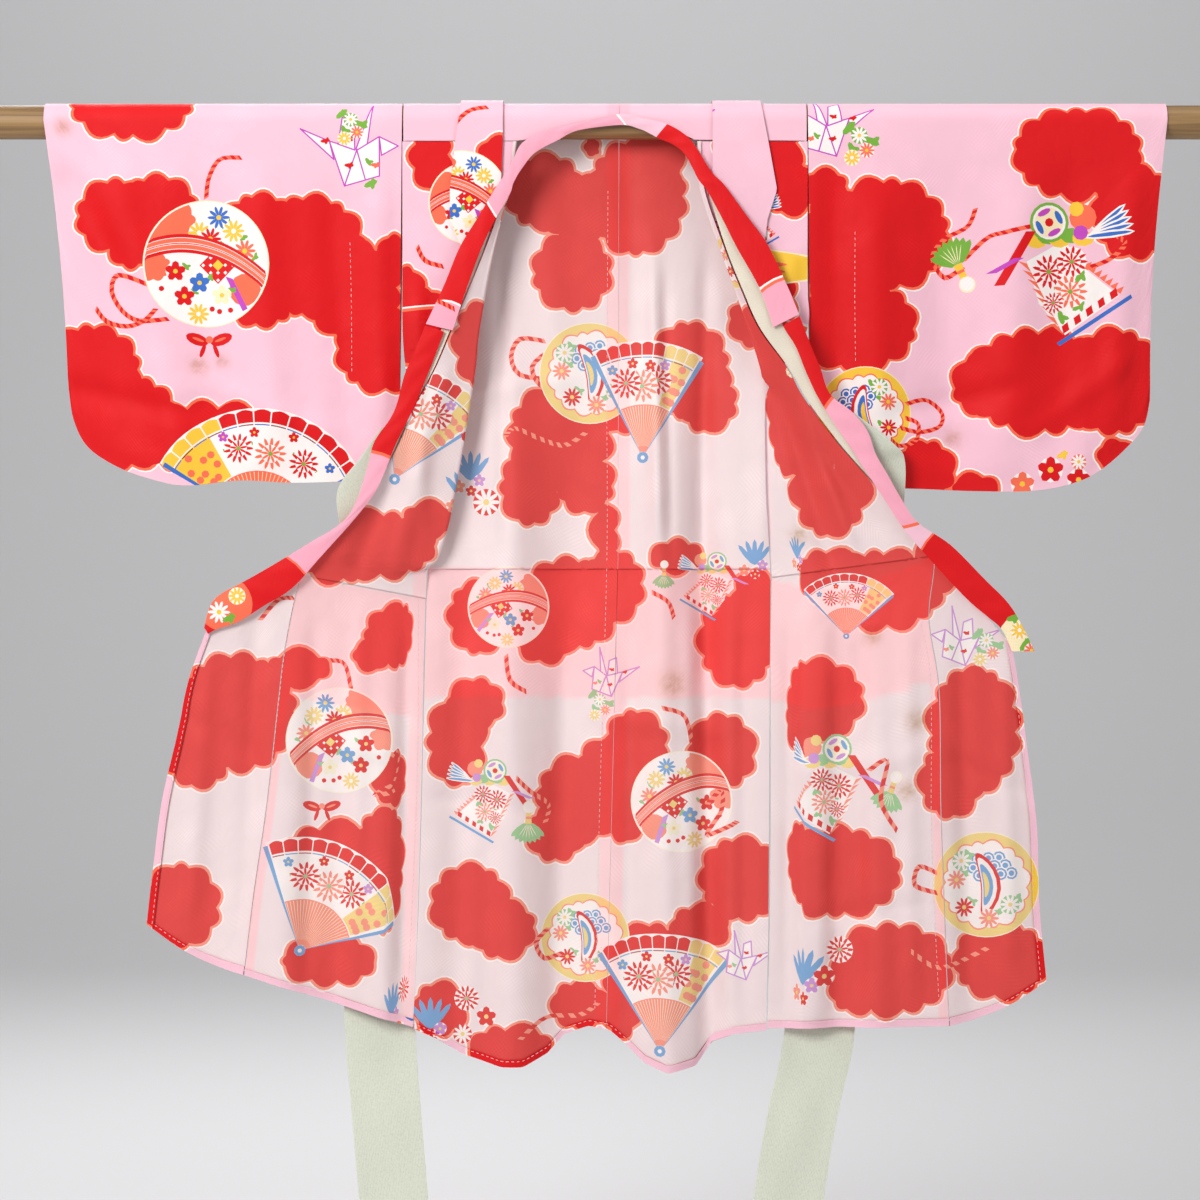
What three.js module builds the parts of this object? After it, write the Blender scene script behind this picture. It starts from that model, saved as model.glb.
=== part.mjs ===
import * as THREE from 'three';

// A child's unlined kimono hung on a wooden rod through both sleeves, its fronts folded open.
// Millimetres, +Z up, the front faces -Y, and the origin is the middle of the rod.
// Left and right are the viewer's. Every table runs from top to bottom, or from left to right.

// Driving sizes
const ROD_RADIUS = 16;
const ROD_LENGTH = 1270;
const ROD_SIDES = 28;
const CLOTH = 1.2; // one layer of cloth
const DOUBLE = 2.4; // a band folded double, and the two loose layers of a tuck
const GAP = 0.3; // between pieces at a seam or lying on each other
const SEAM_ROOM = 0.8; // the same where two slanting edges meet
const HALF_SEAM_ROOM = 0.18; // from the centre-back seam to the middle of each back's last column
const BELT_END = -1100; // where the belt strings end below the hem
const WAIST_TUCK_DEPTH = 121; // the flap of the sewn tuck at the waist
const FOLD_RADIUS = 3; // the bend where a front is folded back on itself
const LEAST_RADIUS = 1.2; // the same bend where only the edge rolls over
const SLEEVE_FOOT = 4; // half a sleeve's thickness at its lower seam
const FOOT_WALL = 1.8; // the extra cloth where a sleeve's two layers close

const CHORD_ROOM = 0.5; // keeps the flat faces of a bent layer off the rod
const HUNG_RADIUS = ROD_RADIUS + GAP + CHORD_ROOM + CLOTH / 2; // the middle of a layer on the rod
const QUARTER_TURN = (HUNG_RADIUS * Math.PI) / 2;

// The fronts, from the shoulder line to the hem. Side is the armhole edge and then the side seam,
// fold is where the front turns back and shows its reverse, and seam is the edge that carries the
// collar and then the overlap panel, whose own front edge is edge.
const FRONT_LEFT = [
  { sideX: -191.8, sideZ: -20.3, sideY: -17.4, foldX: -84, seamX: -87, seamZ: -20.3, seamY: -19.6 },
  { sideX: -191.8, sideZ: -64, sideY: -16.4, foldX: -90, seamX: -94, seamZ: -64, seamY: -20.6 },
  { sideX: -191.8, sideZ: -121, sideY: -14.5, foldX: -105, seamX: -113, seamZ: -121, seamY: -23 },
  { sideX: -191.8, sideZ: -197, sideY: -12, foldX: -119, seamX: -144, seamZ: -197, seamY: -27 },
  { sideX: -189, sideZ: -235, sideY: -10, foldX: -123, seamX: -160, seamZ: -235, seamY: -28 },
  { sideX: -184, sideZ: -273, sideY: -8, foldX: -129, seamX: -180, seamZ: -273, seamY: -28 },
  { sideX: -179, sideZ: -311, sideY: -5, foldX: -135, seamX: -197, seamZ: -311, seamY: -28 },
  { sideX: -175, sideZ: -349, sideY: -2, foldX: -142, seamX: -219, seamZ: -349, seamY: -27 },
  { sideX: -172, sideZ: -387, sideY: 0, foldX: -150, seamX: -249, seamZ: -381, seamY: -25 },
  { sideX: -170, sideZ: -422, sideY: 2.5, foldX: -161, seamX: -272, seamZ: -407, seamY: -23 },
  { sideX: -171, sideZ: -452, sideY: 6, foldX: -171, seamX: -287, seamZ: -430, seamY: -20 },
  { sideX: -173, sideZ: -520, sideY: 6, foldX: -173, seamX: -302, seamZ: -496, seamY: -17 },
  { sideX: -174, sideZ: -580, sideY: 6, foldX: -174, seamX: -310, seamZ: -560, seamY: -16 },
  { sideX: -176, sideZ: -670, sideY: 6, foldX: -176, seamX: -320, seamZ: -648, seamY: -12 },
  { sideX: -179, sideZ: -770, sideY: 6, foldX: -179, seamX: -333, seamZ: -735, seamY: -10 },
  { sideX: -183, sideZ: -860, sideY: 6, foldX: -183, seamX: -342, seamZ: -809, seamY: -10 },
];
const FRONT_RIGHT = [
  { sideX: 190.8, sideZ: -20.3, sideY: -17.4, foldX: 87, seamX: 90, seamZ: -20.3, seamY: -19.6 },
  { sideX: 190.8, sideZ: -64, sideY: -16.4, foldX: 89, seamX: 93, seamZ: -64, seamY: -20.6 },
  { sideX: 190.8, sideZ: -121, sideY: -14.5, foldX: 108, seamX: 112, seamZ: -121, seamY: -23 },
  { sideX: 190.8, sideZ: -159, sideY: -13, foldX: 122, seamX: 127, seamZ: -159, seamY: -25 },
  { sideX: 190.8, sideZ: -197, sideY: -11, foldX: 135, seamX: 144, seamZ: -197, seamY: -27 },
  { sideX: 166, sideZ: -235, sideY: -4, foldX: 147, seamX: 171, seamZ: -235, seamY: -28 },
  { sideX: 153, sideZ: -258, sideY: 3, foldX: 150, seamX: 183, seamZ: -258, seamY: -28 },
  { sideX: 152, sideZ: -285, sideY: 6, foldX: 152, seamX: 202, seamZ: -285, seamY: -28 },
  { sideX: 152, sideZ: -311, sideY: 6, foldX: 152, seamX: 223, seamZ: -311, seamY: -28 },
  { sideX: 153, sideZ: -352, sideY: 6, foldX: 153, seamX: 257, seamZ: -349, seamY: -27 },
  { sideX: 155, sideZ: -392, sideY: 6, foldX: 155, seamX: 287, seamZ: -382, seamY: -25 },
  { sideX: 158, sideZ: -432, sideY: 6, foldX: 158, seamX: 309, seamZ: -412, seamY: -22 },
  { sideX: 157, sideZ: -495, sideY: 6, foldX: 157, seamX: 305, seamZ: -470, seamY: -19 },
  { sideX: 157, sideZ: -560, sideY: 6, foldX: 157, seamX: 315, seamZ: -540, seamY: -16 },
  { sideX: 157, sideZ: -660, sideY: 6, foldX: 157, seamX: 317, seamZ: -650, seamY: -13 },
  { sideX: 156, sideZ: -770, sideY: 6, foldX: 156, seamX: 321, seamZ: -760, seamY: -11 },
  { sideX: 154, sideZ: -861, sideY: 6, foldX: 154, seamX: 325, seamZ: -857, seamY: -10 },
];
const WAIST_ROW_LEFT = 10; // where the waist tuck is sewn and the overlap panel begins
const WAIST_ROW_RIGHT = 11;

// The front edges of the overlap panels, one row for each front row from the waist down
const EDGE_LEFT = [
  { edgeX: -376, edgeZ: -480, edgeY: -20 },
  { edgeX: -394, edgeZ: -531, edgeY: -17 },
  { edgeX: -406, edgeZ: -586, edgeY: -14 },
  { edgeX: -420, edgeZ: -644, edgeY: -9 },
  { edgeX: -429, edgeZ: -710, edgeY: -5 },
  { edgeX: -435, edgeZ: -761, edgeY: -3 },
];
const EDGE_RIGHT = [
  { edgeX: 383, edgeZ: -496, edgeY: -22 },
  { edgeX: 391, edgeZ: -542, edgeY: -19 },
  { edgeX: 398, edgeZ: -590, edgeY: -15 },
  { edgeX: 408, edgeZ: -665, edgeY: -10 },
  { edgeX: 411, edgeZ: -742, edgeY: -6 },
  { edgeX: 418, edgeZ: -815, edgeY: -4 },
];
const OVERLAP_HEM_SAG = 7; // the overlap panels' hems curve down between their corners

// The back: how far its upper edge hangs in front of the rod's top, and its hem
const BACK_TOP = [
  { x: -192, drop: 47 },
  { x: -84, drop: 47 },
  { x: -68, drop: 45 },
  { x: -57, drop: 39 },
  { x: -27, drop: 31 },
  { x: 14, drop: 23 },
  { x: 33, drop: 26 },
  { x: 55, drop: 31 },
  { x: 72, drop: 40 },
  { x: 84, drop: 46 },
  { x: 191, drop: 47 },
];
const BACK_HEM = [
  { x: -190, z: -858 },
  { x: -162, z: -871 },
  { x: -136, z: -887 },
  { x: -99, z: -898 },
  { x: -79, z: -898 },
  { x: -56, z: -886 },
  { x: -40, z: -869 },
  { x: -16, z: -861 },
  { x: 4, z: -864 },
  { x: 18, z: -876 },
  { x: 38, z: -895 },
  { x: 60, z: -904 },
  { x: 85, z: -898 },
  { x: 102, z: -876 },
  { x: 122, z: -867 },
  { x: 160, z: -862 },
];
const BACK_SIDE_LEFT = [
  { z: 20, x: -191.8, y: 17 },
  { z: -64, x: -191.8, y: 16.4 },
  { z: -121, x: -191.8, y: 14.5 },
  { z: -197, x: -191.8, y: 12 },
  { z: -273, x: -184, y: 11 },
  { z: -349, x: -175, y: 11 },
  { z: -387, x: -172, y: 10 },
  { z: -422, x: -170, y: 8 },
  { z: -452, x: -171, y: 6 },
  { z: -580, x: -174, y: 6 },
  { z: -670, x: -176, y: 6 },
  { z: -770, x: -179, y: 6 },
  { z: -860, x: -183, y: 6 },
];
const BACK_SIDE_RIGHT = [
  { z: 20, x: 190.8, y: 17 },
  { z: -64, x: 190.8, y: 16.4 },
  { z: -121, x: 190.8, y: 14.5 },
  { z: -197, x: 190.8, y: 12 },
  { z: -235, x: 166, y: 10 },
  { z: -258, x: 153, y: 7 },
  { z: -285, x: 152, y: 6 },
  { z: -352, x: 153, y: 6 },
  { z: -432, x: 158, y: 6 },
  { z: -560, x: 157, y: 6 },
  { z: -770, x: 156, y: 6 },
  { z: -861, x: 154, y: 6 },
];
const BACK_SEAM = [
  { z: 20, x: 13 },
  { z: -416, x: 12 },
  { z: -870, x: 1 },
];
const BACK_ROWS = [-10, -45, -85, -125, -170, -215, -262, -315, -370, -424, -484, -545, -615, -690, -765, -830];
const WAIST_BACK_Z = -424; // the waist tuck's sewn line on the back
const BACK_FOOT_Z = -880; // below every hem, where the rows stop being level

// The largest hanging folds: where each one is at the top and at the hem, how far it stands out
// towards the back (or, below zero, towards the viewer), its half width, and where it begins.
const BACK_FOLDS = [
  { topX: -150, hemX: -150, depth: 6, width: 20, from: -250 },
  { topX: -97, hemX: -88, depth: -15, width: 26, from: -130 },
  { topX: -35, hemX: -30, depth: 9, width: 28, from: -200 },
  { topX: 48, hemX: 60, depth: -14, width: 20, from: -120 },
  { topX: 90, hemX: 101, depth: 11, width: 13, from: -160 },
  { topX: 128, hemX: 128, depth: -7, width: 14, from: -280 },
];
const LEFT_FOLDS = [
  { topX: -205, hemX: -212, depth: -7, width: 17, from: -430 },
  { topX: -250, hemX: -262, depth: 6, width: 20, from: -430 },
  { topX: -298, hemX: -306, depth: -5, width: 18, from: -500 },
  { topX: -350, hemX: -372, depth: 6, width: 22, from: -500 },
];
const RIGHT_FOLDS = [
  { topX: 194, hemX: 190, depth: -7, width: 15, from: -330 },
  { topX: 226, hemX: 222, depth: 6, width: 14, from: -380 },
  { topX: 262, hemX: 258, depth: -6, width: 18, from: -430 },
  { topX: 345, hemX: 352, depth: 6, width: 22, from: -500 },
];
const FOLD_GROWS = 240; // a hanging fold reaches its full depth this far below where it begins
const FRONT_FOLD_TOP = -300; // between these two heights a front fold goes from topX to hemX
const FRONT_FOLD_HEM = -850;

// The sleeves, a row for each section from the wrist to the armhole: where the section lies on the
// rod, where it ends at the lower seam, and how far its middle bows towards the body.
const SLEEVE_LEFT = [
  { topX: -531, footX: -510, footZ: -253, bow: 4, depth: 0 },
  { topX: -523, footX: -505, footZ: -283, bow: 3, depth: 0.4 },
  { topX: -506, footX: -492, footZ: -308, bow: 2, depth: 1.5 },
  { topX: -475, footX: -466, footZ: -326, bow: 1, depth: 3 },
  { topX: -438, footX: -434, footZ: -338, bow: 0, depth: 0 },
  { topX: -400, footX: -398, footZ: -345, bow: 0, depth: -4 },
  { topX: -350, footX: -347, footZ: -340, bow: 0, depth: -1 },
  { topX: -300, footX: -300, footZ: -342, bow: 0, depth: 4 },
  { topX: -248, footX: -250, footZ: -341, bow: 0, depth: 1 },
  { topX: -192.4, footX: -196, footZ: -339, bow: 0, depth: 0 },
];
const SLEEVE_RIGHT = [
  { topX: 191.4, footX: 195, footZ: -345, bow: 0, depth: 0 },
  { topX: 248, footX: 250, footZ: -347, bow: 0, depth: -2 },
  { topX: 300, footX: 300, footZ: -348, bow: 0, depth: 3 },
  { topX: 350, footX: 350, footZ: -350, bow: 0, depth: 4 },
  { topX: 404, footX: 405, footZ: -350, bow: 0, depth: -2 },
  { topX: 446, footX: 443, footZ: -343, bow: 0, depth: -4 },
  { topX: 480, footX: 469, footZ: -331, bow: -1, depth: 0 },
  { topX: 507, footX: 494, footZ: -310, bow: -3, depth: 1.5 },
  { topX: 523, footX: 511, footZ: -289, bow: -4, depth: 0.4 },
  { topX: 531, footX: 517, footZ: -264, bow: -5, depth: 0 },
];

// The collar bands, a row for each section: the seam edge, the free edge and how far forward
const OVER_COLLAR = [
  { x: -169, z: -194, freeX: -144, freeZ: -200, y: -30.4 },
  { x: -153, z: -160, freeX: -130, freeZ: -158, y: -28.6 },
  { x: -137, z: -121, freeX: -117, freeZ: -122, y: -26.4 },
  { x: -120, z: -93, freeX: -104, freeZ: -95, y: -25 },
  { x: -104, z: -66, freeX: -90, freeZ: -70, y: -23.8 },
  { x: -96, z: -54, freeX: -87, freeZ: -60, y: -23.4 },
  { x: -87, z: -38, freeX: -78, freeZ: -45, y: -22.8 },
  { x: -78, z: -22, freeX: -66, freeZ: -31, y: -21.4 },
  { x: -59, z: -12, freeX: -46, freeZ: -20, y: -20 },
  { x: -28, z: -4, freeX: -26, freeZ: -10, y: -19.6 },
  { x: 14, z: 5, freeX: 14, freeZ: -5, y: -19.6 },
  { x: 34, z: 1, freeX: 33, freeZ: -9, y: -19.6 },
  { x: 54, z: -3, freeX: 51, freeZ: -18, y: -19.9 },
  { x: 73, z: -13, freeX: 66, freeZ: -25, y: -20.6 },
  { x: 85, z: -26, freeX: 77, freeZ: -36, y: -22 },
  { x: 99, z: -49, freeX: 87, freeZ: -56, y: -23.6 },
  { x: 113, z: -64, freeX: 96, freeZ: -68, y: -24.2 },
  { x: 134, z: -93, freeX: 110, freeZ: -94, y: -25.2 },
  { x: 152, z: -118, freeX: 124, freeZ: -122, y: -26.6 },
  { x: 171, z: -158, freeX: 145, freeZ: -160, y: -28.6 },
  { x: 182, z: -185, freeX: 158, freeZ: -197, y: -30.4 },
];
const COLLAR_LEFT = [
  { x: -169.6, z: -195.4, freeX: -152, freeZ: -201, y: -30.4 },
  { x: -179, z: -219, freeX: -160, freeZ: -223, y: -30.4 },
  { x: -189, z: -242, freeX: -168, freeZ: -243, y: -30.5 },
  { x: -199, z: -277, freeX: -182, freeZ: -276, y: -30.5 },
  { x: -217, z: -304, freeX: -197, freeZ: -306, y: -30.5 },
  { x: -223, z: -326, freeX: -205, freeZ: -326, y: -30.4 },
  { x: -234, z: -360, freeX: -216, freeZ: -350, y: -30 },
  { x: -248, z: -381, freeX: -234, freeZ: -374, y: -29 },
  { x: -282, z: -402, freeX: -272, freeZ: -417, y: -27.4 },
  { x: -312, z: -420, freeX: -296, freeZ: -443, y: -25.8 },
  { x: -342, z: -437, freeX: -322, freeZ: -459, y: -24.6 },
  { x: -361, z: -447, freeX: -346, freeZ: -474, y: -23.8 },
  { x: -372, z: -458, freeX: -364, freeZ: -480, y: -23.4 },
  { x: -378, z: -480, freeX: -375, freeZ: -485, y: -23.2 },
];
const COLLAR_RIGHT = [
  { x: 182.5, z: -186.4, freeX: 167, freeZ: -195.4, y: -30.4 },
  { x: 192, z: -212, freeX: 180, freeZ: -217, y: -30.5 },
  { x: 202, z: -236, freeX: 190, freeZ: -242, y: -30.5 },
  { x: 211, z: -260, freeX: 203, freeZ: -268, y: -30.5 },
  { x: 231, z: -276, freeX: 219, freeZ: -293, y: -30.5 },
  { x: 246, z: -294, freeX: 232, freeZ: -312, y: -30.5 },
  { x: 254, z: -316, freeX: 242, freeZ: -328, y: -30.5 },
  { x: 266, z: -337, freeX: 252, freeZ: -343, y: -30.4 },
  { x: 279, z: -360, freeX: 266, freeZ: -364, y: -29.6 },
  { x: 294, z: -381, freeX: 282, freeZ: -388, y: -28.8 },
  { x: 325, z: -402, freeX: 308, freeZ: -418, y: -27 },
  { x: 359, z: -436, freeX: 341, freeZ: -453, y: -26 },
  { x: 378, z: -455, freeX: 361, freeZ: -470, y: -25.4 },
  { x: 391, z: -475, freeX: 374, freeZ: -482, y: -25.2 },
  { x: 404, z: -502, freeX: 383, freeZ: -502, y: -25.2 },
];

// The cream strips between the fronts and the collar, a row for each section
const LINING_LEFT = [
  { x: -97, z: -64, outX: -99, y: -20.8 },
  { x: -113.6, z: -121, outX: -122, y: -23.2 },
  { x: -129, z: -160, outX: -138, y: -25.2 },
  { x: -144.5, z: -197, outX: -154, y: -27.2 },
  { x: -160.5, z: -235, outX: -176, y: -28.5 },
  { x: -180.5, z: -273, outX: -190, y: -28.5 },
  { x: -197.5, z: -311, outX: -208, y: -28.5 },
  { x: -207.5, z: -331, outX: -212, y: -27.8 },
];
const LINING_RIGHT = [
  { x: 96, z: -68, outX: 103, y: -21 },
  { x: 112.6, z: -121, outX: 134, y: -23.2 },
  { x: 127.6, z: -159, outX: 154, y: -25.2 },
  { x: 144.6, z: -197, outX: 168, y: -27.2 },
  { x: 171.6, z: -235, outX: 194, y: -28.5 },
  { x: 191, z: -268, outX: 206, y: -28.5 },
  { x: 223.6, z: -311, outX: 236, y: -28.5 },
  { x: 257.6, z: -349, outX: 268, y: -27.2 },
];

// The belt strings, a row for each section of the side away from the body
const BELT_LEFT = [
  { outX: -212, outZ: -292, inX: -186, inZ: -285, y: -25.2 },
  { outX: -232, outZ: -320, inX: -186, inZ: -312, y: -22 },
  { outX: -253, outZ: -349, inX: -186, inZ: -346, y: -17 },
  { outX: -252, outZ: -383, inX: -185, inZ: -383, y: -10.5 },
  { outX: -251, outZ: -412, inX: -184, inZ: -412, y: 2 },
  { outX: -250, outZ: -440, inX: -183, inZ: -440, y: 13 },
  { outX: -252, outZ: -560, inX: -185, inZ: -560, y: 15 },
  { outX: -250, outZ: -700, inX: -183, inZ: -700, y: 14 },
  { outX: -249, outZ: -850, inX: -182, inZ: -850, y: 14 },
  { outX: -242, outZ: -940, inX: -176, inZ: -940, y: 11 },
  { outX: -235, outZ: -1024, inX: -169, inZ: -1024, y: 9 },
  { outX: -231, outZ: BELT_END, inX: -164, inZ: BELT_END, y: 9 },
];
const BELT_RIGHT = [
  { outX: 234, outZ: -277, inX: 218, inZ: -285, y: -25.5 },
  { outX: 273, outZ: -307, inX: 216, inZ: -314, y: -20.4 },
  { outX: 283, outZ: -322, inX: 216, inZ: -334, y: -14.2 },
  { outX: 283, outZ: -359, inX: 216, inZ: -362, y: -8 },
  { outX: 279, outZ: -400, inX: 212, inZ: -400, y: 3 },
  { outX: 273, outZ: -440, inX: 206, inZ: -440, y: 13 },
  { outX: 258, outZ: -560, inX: 191, inZ: -560, y: 15 },
  { outX: 247, outZ: -700, inX: 180, inZ: -700, y: 14 },
  { outX: 238, outZ: -862, inX: 171, inZ: -862, y: 14 },
  { outX: 222, outZ: -940, inX: 155, inZ: -940, y: 11 },
  { outX: 208, outZ: -1024, inX: 141, inZ: -1024, y: 9 },
  { outX: 203, outZ: BELT_END, inX: 136, inZ: BELT_END, y: 9 },
];

// The shoulder tucks: the folded edge and the sewn edge, from the front's end over to the back's
const TUCK_LEFT = [
  { z: -120, foldX: -136, sewnX: -114 },
  { z: -94, foldX: -147, sewnX: -104 },
  { z: -66, foldX: -147, sewnX: -99 },
  { z: -22, foldX: -142, sewnX: -97 },
  { z: 14, foldX: -137, sewnX: -97 },
];
const TUCK_RIGHT = [
  { z: -120, foldX: 150, sewnX: 118 },
  { z: -94, foldX: 153, sewnX: 106 },
  { z: -66, foldX: 162, sewnX: 101 },
  { z: -22, foldX: 154, sewnX: 101 },
  { z: 14, foldX: 147, sewnX: 101 },
];

const outside = new THREE.MeshStandardMaterial({ color: 0xe88aa0, roughness: 0.62, metalness: 0 });
const reverse = new THREE.MeshStandardMaterial({ color: 0xe8d2d8, roughness: 0.7, metalness: 0 });
const collarCloth = new THREE.MeshStandardMaterial({ color: 0xd8202a, roughness: 0.6, metalness: 0 });
const creamCloth = new THREE.MeshStandardMaterial({ color: 0xf0e8d7, roughness: 0.75, metalness: 0 });
const beltCloth = new THREE.MeshStandardMaterial({ color: 0xdee5d5, roughness: 0.75, metalness: 0 });
const wood = new THREE.MeshStandardMaterial({ color: 0x96733c, roughness: 0.5, metalness: 0 });

const lerp = THREE.MathUtils.lerp;
const clamp = THREE.MathUtils.clamp;
const ease = (value) => THREE.MathUtils.smoothstep(value, 0, 1);
const kimono = new THREE.Group();
kimono.name = 'kimono_on_rod';

// A row of a table at a real place along it, on a smooth curve through the rows.
function rowAt(table, at) {
  const last = table.length - 1;
  const first = clamp(Math.floor(at), 0, last - 1);
  const u = at - first;
  const row = {};
  for (const name of Object.keys(table[0])) {
    const [a, b, c, d] = [first - 1, first, first + 1, first + 2].map((k) => table[clamp(k, 0, last)][name]);
    row[name] = b + 0.5 * u * (c - a + u * (2 * a - 5 * b + 4 * c - d + u * (3 * (b - c) + d - a)));
  }
  return row;
}

// A column's value where another column has a given value, on straight lines between the rows.
function lookUp(table, key, value, column) {
  const rising = table[table.length - 1][key] > table[0][key];
  const rows = rising ? table : [...table].reverse();
  if (value <= rows[0][key]) return rows[0][column];
  for (let i = 1; i < rows.length; i += 1) {
    if (value <= rows[i][key]) {
      const share = (value - rows[i - 1][key]) / (rows[i][key] - rows[i - 1][key]);
      return lerp(rows[i - 1][column], rows[i][column], share);
    }
  }
  return rows[rows.length - 1][column];
}

// How far the hanging folds move the cloth at a place, along Y.
function foldDepth(folds, x, z, topZ, hemZ) {
  const down = clamp((topZ - z) / (topZ - hemZ), 0, 1);
  return folds.reduce((sum, fold) => {
    const grown = ease((fold.from - z) / FOLD_GROWS);
    const away = (x - lerp(fold.topX, fold.hemX, down)) / fold.width;
    return sum + fold.depth * grown * Math.exp(-away * away);
  }, 0);
}

// The way over the rod: drop is measured along the cloth from the rod's top, below zero in front.
function overRod(drop, radius = HUNG_RADIUS) {
  const quarter = (radius * Math.PI) / 2;
  const turned = clamp(drop, -quarter, quarter) / radius;
  const below = Math.max(Math.abs(drop) - quarter, 0);
  return { y: radius * Math.sin(turned), z: radius * Math.cos(turned) - below };
}

function normalAt(grid, i, j, ring) {
  const columns = grid[0].length;
  const before = ring ? (j + columns - 1) % columns : Math.max(j - 1, 0);
  const after = ring ? (j + 1) % columns : Math.min(j + 1, columns - 1);
  const above = grid[Math.max(i - 1, 0)][j];
  const below = grid[Math.min(i + 1, grid.length - 1)][j];
  const across = grid[i][after].clone().sub(grid[i][before]);
  return across.cross(below.clone().sub(above)).normalize();
}

// A wall of cloth through a grid of middle points, or a ring of it where the columns close.
function clothWall(grid, wall, ring = false) {
  const rows = grid.length;
  const columns = grid[0].length;
  const cells = ring ? columns : columns - 1;
  const places = [];
  for (const side of [0.5, -0.5]) {
    for (let i = 0; i < rows; i += 1) {
      for (let j = 0; j < columns; j += 1) {
        const place = grid[i][j].clone().addScaledVector(normalAt(grid, i, j, ring), side * wall);
        places.push(place.x, place.y, place.z);
      }
    }
  }
  const inner = rows * columns;
  const at = (i, j) => i * columns + (j % columns);
  const faces = [];
  const quad = (a, b, c, d) => faces.push(a, b, c, a, c, d);
  for (let i = 0; i < rows - 1; i += 1) {
    for (let j = 0; j < cells; j += 1) {
      quad(at(i, j), at(i, j + 1), at(i + 1, j + 1), at(i + 1, j));
      quad(inner + at(i, j), inner + at(i + 1, j), inner + at(i + 1, j + 1), inner + at(i, j + 1));
    }
  }
  const rim = (a, b) => quad(b, a, inner + a, inner + b);
  for (let j = 0; j < cells; j += 1) {
    rim(at(0, j), at(0, j + 1));
    rim(at(rows - 1, j + 1), at(rows - 1, j));
  }
  for (let i = 0; i < rows - 1 && !ring; i += 1) {
    rim(at(i + 1, 0), at(i, 0));
    rim(at(i, columns - 1), at(i + 1, columns - 1));
  }
  const geometry = new THREE.BufferGeometry();
  geometry.setAttribute('position', new THREE.Float32BufferAttribute(places, 3));
  geometry.setIndex(faces);
  geometry.computeVertexNormals();
  return geometry;
}

function sew(name, geometry, material) {
  const mesh = new THREE.Mesh(geometry, material);
  mesh.name = name;
  kimono.add(mesh);
}

function gridOf(rows, columns, pointAt) {
  return Array.from({ length: rows }, (_, i) => Array.from({ length: columns }, (_, j) => pointAt(i, j)));
}

// The wooden rod
const rodShape = new THREE.CylinderGeometry(ROD_RADIUS, ROD_RADIUS, ROD_LENGTH, ROD_SIDES, 1);
rodShape.rotateZ(Math.PI / 2);
sew('rod', rodShape, wood);

// The sleeves: one length folded over the rod and closed along the bottom
const SLEEVE_SECTIONS = 14;
const RING_DOWN = 6; // steps from the rod to the lower seam on each layer
const RING_TURN = 4; // steps over each quarter of the rod
function sleeve(name, table) {
  const ring = [];
  for (let k = -RING_TURN; k <= RING_TURN; k += 1) ring.push({ turn: (k / RING_TURN) * (Math.PI / 2), down: 0 });
  for (let k = 1; k <= RING_DOWN; k += 1) ring.push({ turn: Math.PI / 2, down: k / RING_DOWN });
  ring.push({ turn: 0, down: 1 });
  for (let k = RING_DOWN; k >= 1; k -= 1) ring.push({ turn: -Math.PI / 2, down: k / RING_DOWN });
  const grid = gridOf(SLEEVE_SECTIONS, ring.length, (i, j) => {
    const section = rowAt(table, (i * (table.length - 1)) / (SLEEVE_SECTIONS - 1));
    const { turn, down } = ring[ring.length - 1 - j];
    const half = lerp(HUNG_RADIUS, SLEEVE_FOOT, ease(down));
    const foot = down === 1 && turn === 0 ? FOOT_WALL : 0;
    return new THREE.Vector3(
      lerp(section.topX, section.footX, down) + section.bow * Math.sin(Math.PI * down),
      half * Math.sin(turn) + section.depth * down,
      down === 0 ? HUNG_RADIUS * Math.cos(turn) : section.footZ * down - foot,
    );
  });
  sew(name, clothWall(grid, CLOTH, true), outside);
}
sleeve('sleeve_left', SLEEVE_LEFT);
sleeve('sleeve_right', SLEEVE_RIGHT);

// The back panels: up from the hem behind the rod, over it and down to the shoulder line
const BACK_COLUMNS = 18;
const BACK_RISE = 10; // rows from the shoulder line over the rod
const BEHIND_ROD = 4; // how far below the rod's side the rows over the rod end
const LEVEL_Z = 20; // where the side and seam tables begin
const SIDE_PULL = 70; // the back lies against its side seam this far in from it
function backPoint(side, across, at) {
  const outward = Math.sign(side[0].x);
  const seamX = (z) => lookUp(BACK_SEAM, 'z', z, 'x') + outward * HALF_SEAM_ROOM;
  const xAt = (z) => lerp(lookUp(side, 'z', z, 'x') - outward * SEAM_ROOM, seamX(z), across);
  if (at < BACK_RISE) {
    const x = xAt(LEVEL_Z);
    const start = -lookUp(BACK_TOP, 'x', x, 'drop');
    const { y, z } = overRod(lerp(start, QUARTER_TURN + BEHIND_ROD, at / BACK_RISE));
    return new THREE.Vector3(x, y, z);
  }
  const step = at - BACK_RISE;
  const plain = step < BACK_ROWS.length ? BACK_ROWS[step] : BACK_FOOT_Z;
  const x = xAt(plain);
  const hem = lookUp(BACK_HEM, 'x', x, 'z');
  const lowered = clamp((WAIST_BACK_Z - plain) / (WAIST_BACK_Z - BACK_FOOT_Z), 0, 1);
  const z = plain > WAIST_BACK_Z ? plain : lerp(WAIST_BACK_Z, hem, lowered);
  return new THREE.Vector3(x, backY(side, x, z), z);
}
function backY(side, x, z) {
  const sideY = lookUp(side, 'z', z, 'y');
  const sideX = lookUp(side, 'z', z, 'x');
  const inward = ease(clamp(Math.abs(x - sideX) / SIDE_PULL, 0, 1));
  const hung = HUNG_RADIUS + foldDepth(BACK_FOLDS, x, z, 0, BACK_FOOT_Z);
  return lerp(sideY, hung, inward);
}
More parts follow.
